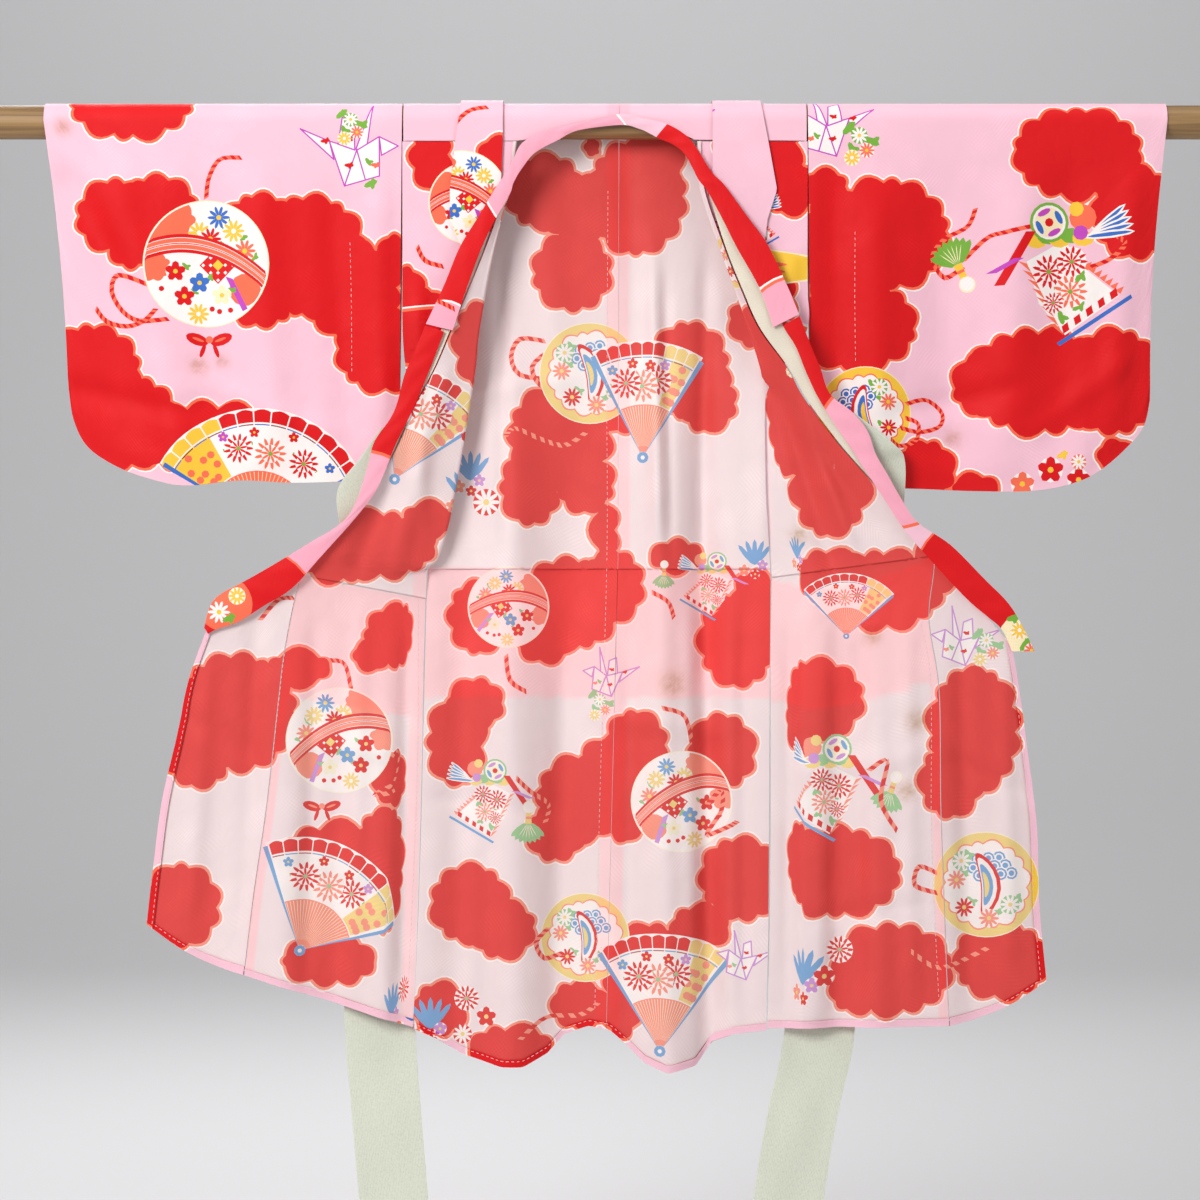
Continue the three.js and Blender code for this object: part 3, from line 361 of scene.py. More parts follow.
def printed_shell(name, panel, print_shapes, wall=SILK, outside=1, backed=None, stains=()):
    """A thin closed sheet on the panel, its print cut into it as coloured faces on both sides.
    The outside is on the side of the normals (outside=1) or on the other one (-1). Backed says
    where the cloth is doubled, and stains are brown marks: x, z, radius."""
    grid_u, grid_v = np.meshgrid(panel.u, panel.v)
    points = [np.column_stack([grid_u.ravel(), grid_v.ravel()])]
    rows, columns = len(panel.v), len(panel.u)
    number = np.arange(rows * columns).reshape(rows, columns)
    border = np.concatenate(
        [number[0, :], number[1:, -1], number[-1, -2::-1], number[-2:0:-1, 0]]
    )
    edges = list(zip(border.tolist(), np.roll(border, -1).tolist()))
    kept_shapes = []
    start = rows * columns
    for dye, outline in print_shapes:
        if outline[:, 0].max() < 0 or outline[:, 0].min() > panel.u[-1]:
            continue
        if outline[:, 1].max() < 0 or outline[:, 1].min() > panel.v[-1]:
            continue
        points.append(outline)
        kept_shapes.append((dye, outline))
        ring = list(range(start, start + len(outline)))
        edges += list(zip(ring, ring[1:] + ring[:1]))
        start += len(outline)
    points = np.vstack(points)
    cut = delaunay_2d_cdt([Vector(p) for p in points.tolist()], edges, [], 0, 0.02, False)
    flat = np.array([(v.x, v.y) for v in cut[0]])
    faces = np.array([f for f in cut[2] if len(f) == 3])
    middle = flat[faces].mean(axis=1)
    inside = (middle[:, 0] > 0) & (middle[:, 0] < panel.u[-1])
    inside &= (middle[:, 1] > 0) & (middle[:, 1] < panel.v[-1])
    a, b, c = (flat[faces[:, k]] for k in range(3))
    size = (b[:, 0] - a[:, 0]) * (c[:, 1] - a[:, 1]) - (b[:, 1] - a[:, 1]) * (c[:, 0] - a[:, 0])
    inside &= np.abs(size) > 1e-5
    flip = size < 0
    faces[flip] = faces[flip][:, ::-1]
    faces = faces[inside]
    middle = flat[faces].mean(axis=1)
    names = list(DYES)
    dye_of = np.zeros(len(faces), int)
    for dye, outline in kept_shapes:
        near = np.flatnonzero(
            (middle >= outline.min(axis=0)).all(axis=1) & (middle <= outline.max(axis=0)).all(axis=1)
        )
        within = inside_outline(middle[near], outline)
        dye_of[near[within]] = names.index(dye)
    dye_names = [names[k] for k in dye_of]
    used, faces = np.unique(faces, return_inverse=True)
    faces = faces.reshape(-1, 3)
    flat = flat[used]

    row = np.interp(flat[:, 1], panel.v, np.arange(rows))
    column = np.interp(flat[:, 0], panel.u, np.arange(columns))
    middle = panel.at(row, column, panel.grid)
    normal = panel.at(row, column, panel.normals)
    normal /= np.linalg.norm(normal, axis=1, keepdims=True)
    count = len(flat)
    places = np.vstack([middle + normal * wall / 2, middle - normal * wall / 2]) * 0.001
    sides = np.vstack([faces[:, [0, 1]], faces[:, [1, 2]], faces[:, [2, 0]]])
    _, first, seen = np.unique(np.sort(sides, axis=1), axis=0, return_index=True, return_counts=True)
    rim = sides[first[seen == 1]]
    rim_faces = np.vstack(
        [
            np.column_stack([rim[:, 1], rim[:, 0], rim[:, 0] + count]),
            np.column_stack([rim[:, 1], rim[:, 0] + count, rim[:, 1] + count]),
        ]
    )
    all_faces = np.vstack([faces, faces[:, ::-1] + count, rim_faces])
    mesh = bpy.data.meshes.new(name)
    mesh.vertices.add(len(places))
    mesh.vertices.foreach_set("co", places.ravel())
    mesh.loops.add(all_faces.size)
    mesh.loops.foreach_set("vertex_index", all_faces.ravel().astype(np.int32))
    mesh.polygons.add(len(all_faces))
    mesh.polygons.foreach_set("loop_start", np.arange(0, all_faces.size, 3, dtype=np.int32))
    mesh.update(calc_edges=True)

    outer = np.array([linear(DYES[d][0]) for d in dye_names])
    inner = np.array([linear(DYES[d][1]) for d in dye_names])
    if outside < 0:
        outer, inner = inner, outer
    rim_colour = np.repeat(linear(DYES["red"][0])[None], len(rim_faces), axis=0)
    colour = np.vstack([outer, inner, rim_colour])
    colour = np.hstack([colour, np.ones((len(colour), 1))])
    tint = mesh.color_attributes.new("print", "FLOAT_COLOR", "CORNER")
    tint.data.foreach_set("color", np.repeat(colour, 3, axis=0).ravel().astype(np.float32))
    uv = np.column_stack([panel.at(row, column, panel.cloth_u), panel.at(row, column, panel.cloth_v)])
    uv = np.vstack([uv, uv]) * 0.001
    layer = mesh.uv_layers.new(name="UVMap")
    layer.data.foreach_set("uv", uv[all_faces.ravel()].ravel().astype(np.float32))
    doubled = np.zeros(count) if backed is None else backed(middle)
    marked = np.zeros(count)
    for x, z, r in stains:
        marked = np.maximum(marked, np.exp(-((middle[:, 0] - x) ** 2 + (middle[:, 2] - z) ** 2) / r**2))
    for label, values in (("doubled", doubled), ("stain", marked)):
        given = mesh.attributes.new(label, "FLOAT", "POINT")
        given.data.foreach_set("value", np.tile(values, 2).astype(np.float32))
    mesh.shade_smooth()
    mesh.normals_split_custom_set_from_vertices(np.vstack([normal, -normal]).tolist())
    return mesh


printed_silk, tree, shader = blank_finish("printed_silk")
uv = add(tree, "ShaderNodeUVMap", uv_map="UVMap").outputs["UV"]
# The woven figure: hatched leaves at two slants, one to a cell. They show as sheen through the roughness and a
# faint bump, and also as painted sheen that lightens the print on the leaves
cells = add(tree, "ShaderNodeTexVoronoi", Scale=27, Vector=uv)
slants = []
for slant in (0.7, -0.9):
    turned = add(tree, "ShaderNodeMapping", Rotation=(0, 0, slant), Vector=uv)
    hatch = add(tree, "ShaderNodeTexWave", Scale=110, Distortion=5, Detail=1, Detail_Scale=0.25,
                Vector=turned.outputs["Vector"])
    slants.append(hatch.outputs["Fac"])
split = add(tree, "ShaderNodeSeparateColor", Color=cells.outputs["Color"])
chosen = add(tree, "ShaderNodeMix", Factor=split.outputs["Red"], A=slants[0], B=slants[1])
leafy = add(tree, "ShaderNodeMapRange", From_Min=0.0, From_Max=0.55, To_Min=1.0, To_Max=0.0,
            Value=cells.outputs["Distance"])
woven = add(tree, "ShaderNodeMath", chosen.outputs["Result"], leafy.outputs["Result"], operation="MULTIPLY")
figure = woven.outputs["Value"]
# Painted sheen: the print's colour is made up to 9 % lighter on the woven leaves and a little darker between
# them
painted_sheen = add(tree, "ShaderNodeMapRange", To_Min=0.975, To_Max=1.09, Value=figure)
# The print is deeper where the cloth is doubled, and browned where it is marked
colour = add(tree, "ShaderNodeAttribute", attribute_name="print").outputs["Color"]
doubled = add(tree, "ShaderNodeAttribute", attribute_name="doubled")
deeper = add(tree, "ShaderNodeMix", data_type="RGBA", blend_type="MULTIPLY", B=(1.12, 0.86, 0.88, 1),
             Factor=doubled.outputs["Fac"], A=colour)
marked = add(tree, "ShaderNodeAttribute", attribute_name="stain")
cloudy = add(tree, "ShaderNodeTexNoise", Scale=160, Detail=4, Vector=uv)
spread = add(tree, "ShaderNodeMath", marked.outputs["Fac"], cloudy.outputs["Fac"], operation="MULTIPLY")
browned = add(tree, "ShaderNodeMix", data_type="RGBA", blend_type="MULTIPLY", B=(0.52, 0.32, 0.08, 1),
              Factor=spread.outputs["Value"], A=deeper.outputs["Result"])
# The print's colour with the painted sheen of the figure multiplied in
lit = add(tree, "ShaderNodeVectorMath", browned.outputs["Result"], operation="SCALE",
          Scale=painted_sheen.outputs["Result"])
# Fine ribs of weft and a slow unevenness of the tension
ribs = add(tree, "ShaderNodeTexWave", bands_direction="Y", Scale=700, Vector=uv)
slack = add(tree, "ShaderNodeTexNoise", Scale=55, Detail=3, Vector=uv)
surface = relief(tree, slack.outputs["Fac"], 0.22, 0.0035)
surface = relief(tree, ribs.outputs["Fac"], 0.12, 0.0003, Normal=surface)
surface = relief(tree, figure, 0.18, 0.0003, Normal=surface)
rough = add(tree, "ShaderNodeMapRange", To_Min=0.64, To_Max=0.44, Value=figure)
fit(tree, shader, Base_Color=lit.outputs["Vector"], Normal=surface, Roughness=rough.outputs["Result"],
    Sheen_Weight=0.06, Sheen_Roughness=0.4, Specular_IOR_Level=0.28)


# The print's shapes, in mm with x to the right and z up. Each returns (dye, outline) pairs from
# the lowest layer to the highest, as they were laid on the cloth. Their places and sizes are in
# pixels of the photograph, where the rod's middle is at ROD_PX, ROD_PY and a pixel is PIXEL mm.
PIXEL = 0.95
ROD_PX = 605.5
ROD_PY = 122.5


def mm(px, py):
    """A place in the photograph's frame as x, z in mm."""
    return (px - ROD_PX) * PIXEL, (ROD_PY - py) * PIXEL


def ring(x, z, rx, rz, lobes, inset=0.0):
    """A closed outline of round lobes set along an ellipse, drawn in by inset."""
    k = np.arange(lobes)
    t = 2 * math.pi * (k + 0.18 * np.sin(2.4 * k + 0.1 * x)) / lobes
    knots = np.column_stack([rx * np.cos(t), rz * np.sin(t)])
    chord = np.roll(knots, -1, axis=0) - knots
    outward = np.column_stack([chord[:, 1], -chord[:, 0]])
    s = (np.arange(6) / 6)[:, None]
    line = knots[:, None] + chord[:, None] * s + outward[:, None] * (1.2 * s * (1 - s))
    line = line.reshape(-1, 2)
    far = np.linalg.norm(line, axis=1, keepdims=True)
    return line * (1 - inset / np.maximum(far, abs(inset) + 1)) + (x, z)


def disc(x, z, r, points=16, squash=1.0, turn=0.0):
    t = np.linspace(0, 2 * math.pi, points, endpoint=False)
    a, b = r * np.cos(t), r * squash * np.sin(t)
    c, s = math.cos(turn), math.sin(turn)
    return np.column_stack([x + a * c - b * s, z + a * s + b * c])


def clouds(*lumps):
    """Drifting clouds: red with a thin orange rim and a pale outline, from overlapping lumps."""
    placed = [(*mm(px, py), max(rx * PIXEL - 2.5, 5), max(ry * PIXEL - 2.5, 5)) for px, py, rx, ry in lumps]
    shapes = []
    for dye, inset in (("white", -1.6), ("orange", 0.0), ("red", 2.8)):
        for x, z, rx, rz in placed:
            lobes = max(5, round((rx + rz) * math.pi / 23))
            shapes.append((dye, ring(x, z, rx, rz, lobes, inset)))
    return shapes


def stroke(line, width, dye):
    """A printed line of even width round an outline."""
    shapes = []
    for a, b in zip(line, np.roll(line, -1, axis=0)):
        way = (b - a) / max(np.linalg.norm(b - a), 1e-6)
        side = np.array([-way[1], way[0]]) * width / 2
        reach = way * width / 3
        corners = [a - reach + side, b + reach + side, b + reach - side, a - reach - side]
        shapes.append((dye, np.array(corners)))
    return shapes


def petals(x, z, r, count, dye, edge="white", heart="yellow", narrow=0.36, turn=0.0):
    shapes = [(edge, disc(x, z, 0.92 * r, 12))]
    for k in range(count):
        a = turn + 2 * math.pi * k / count
        mx, mz = x + 0.56 * r * math.cos(a), z + 0.56 * r * math.sin(a)
        shapes.append((dye, disc(mx, mz, 0.42 * r, 7, narrow, a)))
    shapes.append((heart, disc(x, z, 0.22 * r, 8)))
    return shapes


def plum(x, z, r, dye, edge="white"):
    return petals(x, z, r, 5, dye, edge, "yellow", 0.85, 0.3)


def daisy(x, z, r, dye="white", edge="orange"):
    return petals(x, z, r, 10, dye, edge, "yellow" if dye != "yellow" else "white", 0.34)


def mum(x, z, r, dye="red", edge="white"):
    outer = petals(x, z, r, 13, dye, edge, "orange", 0.25)
    return outer + petals(x, z, 0.6 * r, 9, dye, edge, "green", 0.3, 0.2)


def leaf(x, z, r, angle, dye="green"):
    beside = disc(x + r * 0.3, z, r * 0.8, 8, 0.42, angle + 1.1)
    return [(dye, disc(x, z, r, 8, 0.42, angle)), (dye, beside)]


def sprig(x, z, r):
    """A few flowers and leaves that lie together."""
    shapes = leaf(x - 0.7 * r, z + 0.5 * r, 0.6 * r, 0.8) + leaf(x + 0.8 * r, z - 0.4 * r, 0.6 * r, -0.4)
    shapes += leaf(x - 0.5 * r, z - 0.9 * r, 0.5 * r, 2.0)
    shapes += daisy(x, z, 0.62 * r, "white", "green")
    shapes += daisy(x + 0.5 * r, z - 1.0 * r, 0.55 * r, "orange", "white")
    return shapes + daisy(x - 0.5 * r, z - 1.5 * r, 0.6 * r, "yellow", "white")


CORD_HALF = 2.1


def string(points):
    """A twisted cord: short slanted strands of two dyes."""
    line = along([mm(*p) for p in points], np.linspace(0, len(points) - 1, (len(points) - 1) * 6 + 1))
    step = np.gradient(line, axis=0)
    step /= np.maximum(np.linalg.norm(step, axis=1, keepdims=True), 1e-6)
    side = np.column_stack([-step[:, 1], step[:, 0]]) * CORD_HALF
    shapes = []
    for k in range(len(line) - 1):
        a, b = line[k], line[k + 1]
        lean = step[k] * CORD_HALF * 0.7
        strand = [a + side[k] - lean, b + side[k + 1] - lean, b - side[k + 1] + lean, a - side[k] + lean]
        shapes.append(("red" if k % 2 else "orange", np.array(strand)))
    return shapes


def sector(x, z, r0, r1, a0, a1, points=8, bulge=0.0):
    t = np.linspace(a0, a1, points)
    swell = r1 * (1 + bulge * np.sin(np.linspace(0, math.pi, points)))
    outer = np.column_stack([x + swell * np.cos(t), z + swell * np.sin(t)])
    inner = np.column_stack([x + r0 * np.cos(t), z + r0 * np.sin(t)])[::-1]
    return np.vstack([outer, inner])


class Round:
    """Draws inside a round motif: places are in radii, turned with it and kept within its edge."""

    def __init__(self, x, z, r, turn=0.0, flip=1):
        self.x, self.z, self.r, self.flip = x, z, r, flip
        self.c, self.s = math.cos(turn), math.sin(turn)

    def at(self, a, b):
        a = a * self.flip
        return self.x + self.r * (a * self.c - b * self.s), self.z + self.r * (a * self.s + b * self.c)

    def keep(self, outline):
        p = outline - (self.x, self.z)
        far = np.linalg.norm(p, axis=1, keepdims=True)
        return p * np.minimum(1, 0.985 * self.r / np.maximum(far, 1e-6)) + (self.x, self.z)

    def line(self, places):
        return self.keep(np.array([self.at(a, b) for a, b in places]))


def lozenge(a, b, size):
    return [(a, b - size), (a + size, b), (a, b + size), (a - size, b)]


def checks(ball, a, b, size, count=5):
    """A small cloth of red and white checks."""
    shapes = [("red", ball.line(lozenge(a, b, size)))]
    for i in range(count):
        for j in range(count):
            if (i + j) % 2 == 0:
                u, v = (i + 0.5) / count - 0.5, (j + 0.5) / count - 0.5
                ca, cb = a + (u - v) * size, b + (u + v) * size
                h = 0.36 * size / count * 1.4
                shapes.append(("white", ball.line(lozenge(ca, cb, h))))
    shapes.append(("yellow", ball.line(lozenge(a, b, size * 0.3))))
    return shapes


def temari(px, py, radius, turn=0.0, flip=1):
    """A thread-wound ball with flowers, a curved sash of red and orange, and a check cloth."""
    x, z = mm(px, py)
    r = radius * PIXEL
    ball = Round(x, z, r, turn, flip)
    shapes = [("cream", disc(x, z, r + 0.9, 52)), ("white", disc(x, z, r, 52))]
    inner = [
        ("orange", ring(*ball.at(-0.62, 0.62), 0.42 * r, 0.4 * r, 12)),
        ("orange", ring(*ball.at(-0.85, -0.05), 0.26 * r, 0.2 * r, 8)),
        ("orange", disc(*ball.at(0.62, -0.42), 0.26 * r, 14)),
        ("violet", ball.line([(0.3, -0.2), (0.42, -0.24), (0.66, -0.72), (0.58, -0.76)])),
    ]
    daisies = ((0.2, 0.74, "blue"), (-0.12, 0.5, "yellow"), (0.06, 0.4, "red"), (0.44, 0.52, "yellow"),
               (0.62, 0.2, "orange"))
    for a, b, dye in daisies:
        inner += leaf(*ball.at(a + 0.12, b - 0.1), 0.11 * r, a * 5)
        inner += daisy(*ball.at(a, b), 0.19 * r, dye, "white")
    inner += checks(ball, 0.18, -0.02, 0.3)
    plums = ((-0.5, -0.12, "red"), (-0.36, -0.52, "red"), (-0.12, -0.3, "blue"), (0.24, -0.5, "cream"))
    for a, b, dye in plums:
        inner += leaf(*ball.at(a + 0.16, b + 0.08), 0.08 * r, b * 7)
        inner += plum(*ball.at(a, b), 0.17 * r, dye, "white")
    inner += daisy(*ball.at(-0.14, -0.8), 0.18 * r, "yellow", "white")
    for a, b in ((0.08, -0.72), (0.2, -0.76), (-0.72, -0.4), (0.38, -0.74)):
        inner.append(("red", disc(*ball.at(a, b), 0.045 * r, 7)))
    t = np.linspace(-1.05, 1.05, 22)
    middle = 0.33 - 0.34 * (t + 0.38) ** 2
    for half, dye in ((0.15, "red"), (0.095, "white"), (0.085, "orange"), (0.018, "white"), (0.008, "red")):
        upper = [(a, b + half) for a, b in zip(t, middle)]
        lower = [(a, b - half) for a, b in zip(t[::-1], middle[::-1])]
        inner.append((dye, ball.line(upper + lower)))
    return shapes + [(dye, ball.keep(outline)) for dye, outline in inner]


def wave_ball(px, py, radius, turn=0.0, flip=1):
    """A ball with a yellow lobed border, blue wave scales, a lens of red and blue, and daisies."""
    x, z = mm(px, py)
    r = radius * PIXEL
    ball = Round(x, z, r, turn, flip)
    shapes = [("cream", disc(x, z, r + 0.9, 44)), ("yellow", disc(x, z, r, 44))]
    inner = [("orange", ring(x, z, 0.8 * r, 0.8 * r, 16)), ("white", ring(x, z, 0.77 * r, 0.77 * r, 16))]
    for row in range(3):
        for k in range(-3, 4):
            a, b = -0.3 + (k + 0.5 * (row % 2)) * 0.2, 0.5 - row * 0.16
            if math.hypot(a, b) < 0.68 and a < 0.25:
                for size, dye in ((0.14, "white"), (0.12, "blue"), (0.085, "white"), (0.055, "blue")):
                    inner.append((dye, disc(*ball.at(a, b), size * r, 9)))
    lens = [
        (0.42 * math.sin(q) * 0.45 + 0.1 * math.cos(q * 2), 0.62 * math.cos(q))
        for q in np.linspace(0, 2 * math.pi, 18, endpoint=False)
    ]
    inner.append(("red", ball.line(lens)))
    inner.append(("white", ball.line([(a * 0.75, b * 0.85) for a, b in lens])))
    inner.append(("blue", ball.line([(a * 0.5, b * 0.65) for a, b in lens])))
    inner.append(("yellow", ball.line([(a * 0.25, b * 0.4) for a, b in lens])))
    daisies = ((0.45, -0.4, "red"), (0.0, -0.65, "orange"), (-0.42, -0.42, "white"),
               (0.55, 0.15, "orange"), (0.42, 0.5, "white"))
    for a, b, dye in daisies:
        inner += leaf(*ball.at(a - 0.15, b + 0.1), 0.12 * r, a * 5)
        inner += daisy(*ball.at(a, b), 0.2 * r, dye, "white" if dye != "white" else "green")
    return shapes + [(dye, ball.keep(outline)) for dye, outline in inner]


def fan(px, py, radius, a0, a1, ribs=11):
    """An open folding fan seen from its pivot: sticks, a papered band of flowers, red lobed edge."""
    x, z = mm(px, py)
    r = radius * PIXEL
    shapes = [("white", sector(x, z, 0.04 * r, r * 1.015, a0 - 0.02, a1 + 0.02, 26))]
    shapes.append(("orange", sector(x, z, 0.05 * r, 0.46 * r, a0, a1, 14)))
    for k in range(ribs * 2):
        b = mix(a0, a1, (k + 0.5) / (ribs * 2))
        shapes.append(("cream", sector(x, z, 0.1 * r, 0.45 * r, b - 0.006, b + 0.006, 2)))
    shapes.append(("yellow", sector(x, z, 0.47 * r, 0.88 * r, mix(a0, a1, 0.02), mix(a0, a1, 0.24), 8)))
    for k in range(10):
        b, far = mix(a0, a1, 0.05 + 0.05 * (k % 4)), (0.53 + 0.1 * (k // 3)) * r
        shapes.append(("orange", disc(x + far * math.cos(b), z + far * math.sin(b), 0.035 * r, 7)))
    mums = ((0.36, 0.68, 0.14, "red"), (0.56, 0.62, 0.15, "orange"), (0.78, 0.66, 0.14, "red"))
    for share, far, size, dye in mums:
        b = mix(a0, a1, share)
        for turn in (-0.13, 0.13):
            leaf_x, leaf_z = x + far * r * math.cos(b + turn), z + far * r * math.sin(b + turn)
            shapes += leaf(leaf_x, leaf_z, 0.06 * r, b + turn * 8)
        shapes += mum(x + far * r * math.cos(b), z + far * r * math.sin(b), size * r, dye)
    plums = ((0.46, 0.8, "red"), (0.66, 0.82, "red"), (0.9, 0.8, "blue"), (0.3, 0.82, "violet"))
    for share, far, dye in plums:
        b = mix(a0, a1, share)
        shapes += plum(x + far * r * math.cos(b), z + far * r * math.sin(b), 0.05 * r, dye)
    for k in range(ribs):
        b0, b1 = mix(a0, a1, (k + 0.03) / ribs), mix(a0, a1, (k + 0.95) / ribs)
        dye = "yellow" if k < ribs * 0.24 else "red"
        shapes.append((dye, sector(x, z, 0.89 * r, r * 0.985, b0, b1, 6, 0.02)))
        shapes.append(("dark" if k % 2 else "blue", sector(x, z, 0.865 * r, 0.875 * r, b0, b1, 3)))
    for b in (a0 - 0.03, a1 + 0.03):
        shapes.append(("blue", sector(x, z, 0.02 * r, 0.98 * r, b - 0.022, b + 0.022, 2)))
    return shapes + [("blue", disc(x, z, 0.05 * r, 9)), ("white", disc(x, z, 0.02 * r, 6))]


def paper_crane(px, py, size, flip=1, turn=0.0):
    """A folded paper crane: white facets with violet edges, a few small leaves on them."""
    x, z = mm(px, py)
    bird = Round(x, z, size * PIXEL, turn, flip)
    facets = (
        ((-1.0, 0.3), (-0.42, 0.12), (-0.3, -0.22)),
        ((-0.42, 0.12), (-0.05, -0.7), (0.12, 0.02)),
        ((-0.05, -0.7), (0.34, -0.55), (0.12, 0.02)),
        ((-0.25, 0.08), (-0.22, 0.6), (0.02, 0.5), (0.08, 0.0)),
        ((0.1, 0.02), (0.34, 0.95), (0.3, -0.02)),
        ((0.12, 0.0), (0.52, 0.3), (0.6, -0.45), (0.34, -0.55)),
        ((0.52, 0.3), (0.9, 0.16), (0.6, -0.05)),
    )
    shapes = []
    for facet in facets:
        outline = np.array([bird.at(a, b) for a, b in facet])
        shapes.append(("white", outline))
        shapes += stroke(outline, 1.3, "violet")
    leaves = ((-0.06, 0.2, "red"), (0.0, -0.3, "red"), (0.36, -0.2, "green"), (0.5, -0.25, "orange"),
              (-0.5, 0.12, "red"))
    for a, b, dye in leaves:
        shapes += leaf(*bird.at(a, b), 0.09 * size, a * 6, dye)
    return shapes


def tassel(px, py, size, turn=0.0):
    """A green brush with a yellow collar and a white bead."""
    x, z = mm(px, py)
    brush = Round(x, z, size * PIXEL, turn)
    shapes = []
    for k in range(8):
        a = math.pi / 2 + (k - 3.5) * 0.24
        middle = brush.at(0.5 * math.cos(a), 0.52 * math.sin(a))
        shapes.append(("green", disc(*middle, 0.42 * brush.r, 8, 0.3, a + turn)))
    for k in range(6):
        a = math.pi / 2 + (k - 2.5) * 0.22
        middle = brush.at(0.4 * math.cos(a), 0.42 * math.sin(a))
        shapes.append(("cream", disc(*middle, 0.3 * brush.r, 6, 0.05, a + turn)))
    for dye, corners in (
        ("yellow", ((-0.14, 0.1), (0.14, 0.1), (0.1, -0.4), (-0.1, -0.4))),
        ("orange", ((-0.12, -0.1), (0.12, -0.1), (0.11, -0.2), (-0.11, -0.2))),
    ):
        shapes.append((dye, np.array([brush.at(a, b) for a, b in corners])))
    shapes.append(("cream", disc(*brush.at(0, -0.6), 0.26 * brush.r, 12)))
    return shapes + [("white", disc(*brush.at(0, -0.58), 0.22 * brush.r, 12))]


def treasures(px, py, size, flip=1, turn=0.0):
    """Lucky things in a heap: a fringed cloth of chrysanthemums on a blue rod, a hand drum,
    pine, feathers, red wands and a brush on cords."""
    x, z = mm(px, py)
    heap = Round(x, z, size * PIXEL, turn, flip)
    r = heap.r

    def outline(places):
        return np.array([heap.at(a, b) for a, b in places])

    cloth = [(-0.5, 0.15), (0.05, 0.42), (0.2, 0.1), (0.72, -0.38), (-0.02, -0.86), (-0.36, -0.42)]
    shapes = [("white", outline(cloth))]
    for a0, b0, a1, b1 in ((0.2, 0.12, 0.74, -0.36), (-0.5, 0.12, -0.04, -0.86)):
        for k in range(8):
            a, b = mix(a0, a1, k / 8), mix(b0, b1, k / 8)
            reach = 0.12 if a0 > 0 else -0.12
            after = (a + (a1 - a0) / 8, b + (b1 - b0) / 8)
            shapes.append(("orange", outline([(a, b), (a + reach, b + 0.04), after])))
    for k in range(9):
        a, b = mix(-0.04, 0.7, k / 9), mix(-0.84, -0.38, k / 9)
        band = outline([(a, b), (a + 0.09, b + 0.055), (a + 0.07, b + 0.16), (a - 0.02, b + 0.1)])
        shapes.append((("red", "white")[k % 2], band))
    mums = ((-0.2, 0.0, "red", 0.24), (0.08, -0.28, "orange", 0.24), (0.12, 0.12, "red", 0.22),
            (-0.16, -0.42, "red", 0.15))
    for a, b, dye, grow in mums:
        shapes += leaf(*heap.at(a + 0.1, b - 0.2), 0.1 * r, a * 8) + mum(*heap.at(a, b), grow * r, dye)
    shapes.append(("blue", outline([(-0.14, -0.96), (-0.1, -1.0), (0.9, -0.42), (0.88, -0.37)])))
    for k in range(5):
        needles = disc(*heap.at(-0.35 + 0.16 * k, 0.42 + 0.05 * (k % 2)), 0.15 * r, 9, 0.7)
        shapes.append((("yellow", "green")[k % 2], needles))
    drum = heap.at(-0.16, 0.66)
    for grow, dye in ((0.27, "green"), (0.23, "white"), (0.2, "cream")):
        shapes.append((dye, disc(*drum, grow * r, 18)))
    for k in range(4):
        a = k * math.pi / 2 + 0.5
        petal_x, petal_z = drum[0] + 0.15 * r * math.cos(a), drum[1] + 0.15 * r * math.sin(a)
        shapes.append((("blue", "violet")[k % 2], disc(petal_x, petal_z, 0.1 * r, 9, 0.4, a + 1.57)))
    shapes.append(("red", disc(*drum, 0.06 * r, 8)))
    for k in range(5):
        a = 0.75 - 0.16 * k
        centre = heap.at(0.52 + 0.12 * math.cos(a), 0.52 + 0.3 * math.sin(a) - 0.1)
        shapes.append(("white", disc(*centre, 0.34 * r, 9, 0.16, a * flip)))
        shapes.append(("blue", disc(*centre, 0.3 * r, 8, 0.09, a * flip)))
    shapes.append(("orange", disc(*heap.at(0.3, 0.7), 0.18 * r, 12)))
    shapes.append(("yellow", disc(*heap.at(0.22, 0.82), 0.1 * r, 9)))
    shapes.append(("violet", disc(*heap.at(0.26, 0.5), 0.1 * r, 9)))
    w = 0.07
    wands = ((-0.42, 0.55, -0.88, -0.15, "red"), (-0.6, 0.2, -0.98, 0.02, "violet"),
             (-0.5, 0.3, -0.72, 0.3, "blue"))
    for a0, b0, a1, b1, dye in wands:
        shapes.append((dye, outline([(a0 - w, b0), (a0 + w, b0), (a1 + w, b1), (a1 - w, b1)])))
    return shapes


def bow(px, py, size):
    x, z = mm(px, py)
    r = size * PIXEL
    shapes = []
    for side in (-1, 1):
        shapes.append(("red", disc(x + side * 0.55 * r, z, 0.52 * r, 12, 0.5, side * 0.35)))
        shapes.append(("orange", disc(x + side * 0.5 * r, z, 0.28 * r, 9, 0.22, side * 0.35)))
        end = disc(x + side * 0.3 * r, z - 0.5 * r, 0.34 * r, 9, 0.3, -math.pi / 2 + side * 0.35)
        shapes.append(("red", end))
    return shapes + [("orange", disc(x, z, 0.17 * r, 9))]


def iris(px, py, size):
    """Blue spiky leaves with orange and violet blooms."""
    x, z = mm(px, py)
    r = size * PIXEL
    shapes = []
    for k in range(5):
        a = math.pi / 2 + (k - 2) * 0.34
        blade = disc(x + 0.5 * r * math.cos(a), z + 0.5 * r * math.sin(a), 0.5 * r, 8, 0.2, a)
        shapes.append(("blue", blade))
    shapes += plum(x - 0.4 * r, z - 0.2 * r, 0.24 * r, "orange") + plum(x + 0.3 * r, z, 0.22 * r, "violet")
    return shapes + plum(x + 0.02 * r, z - 0.35 * r, 0.2 * r, "red")


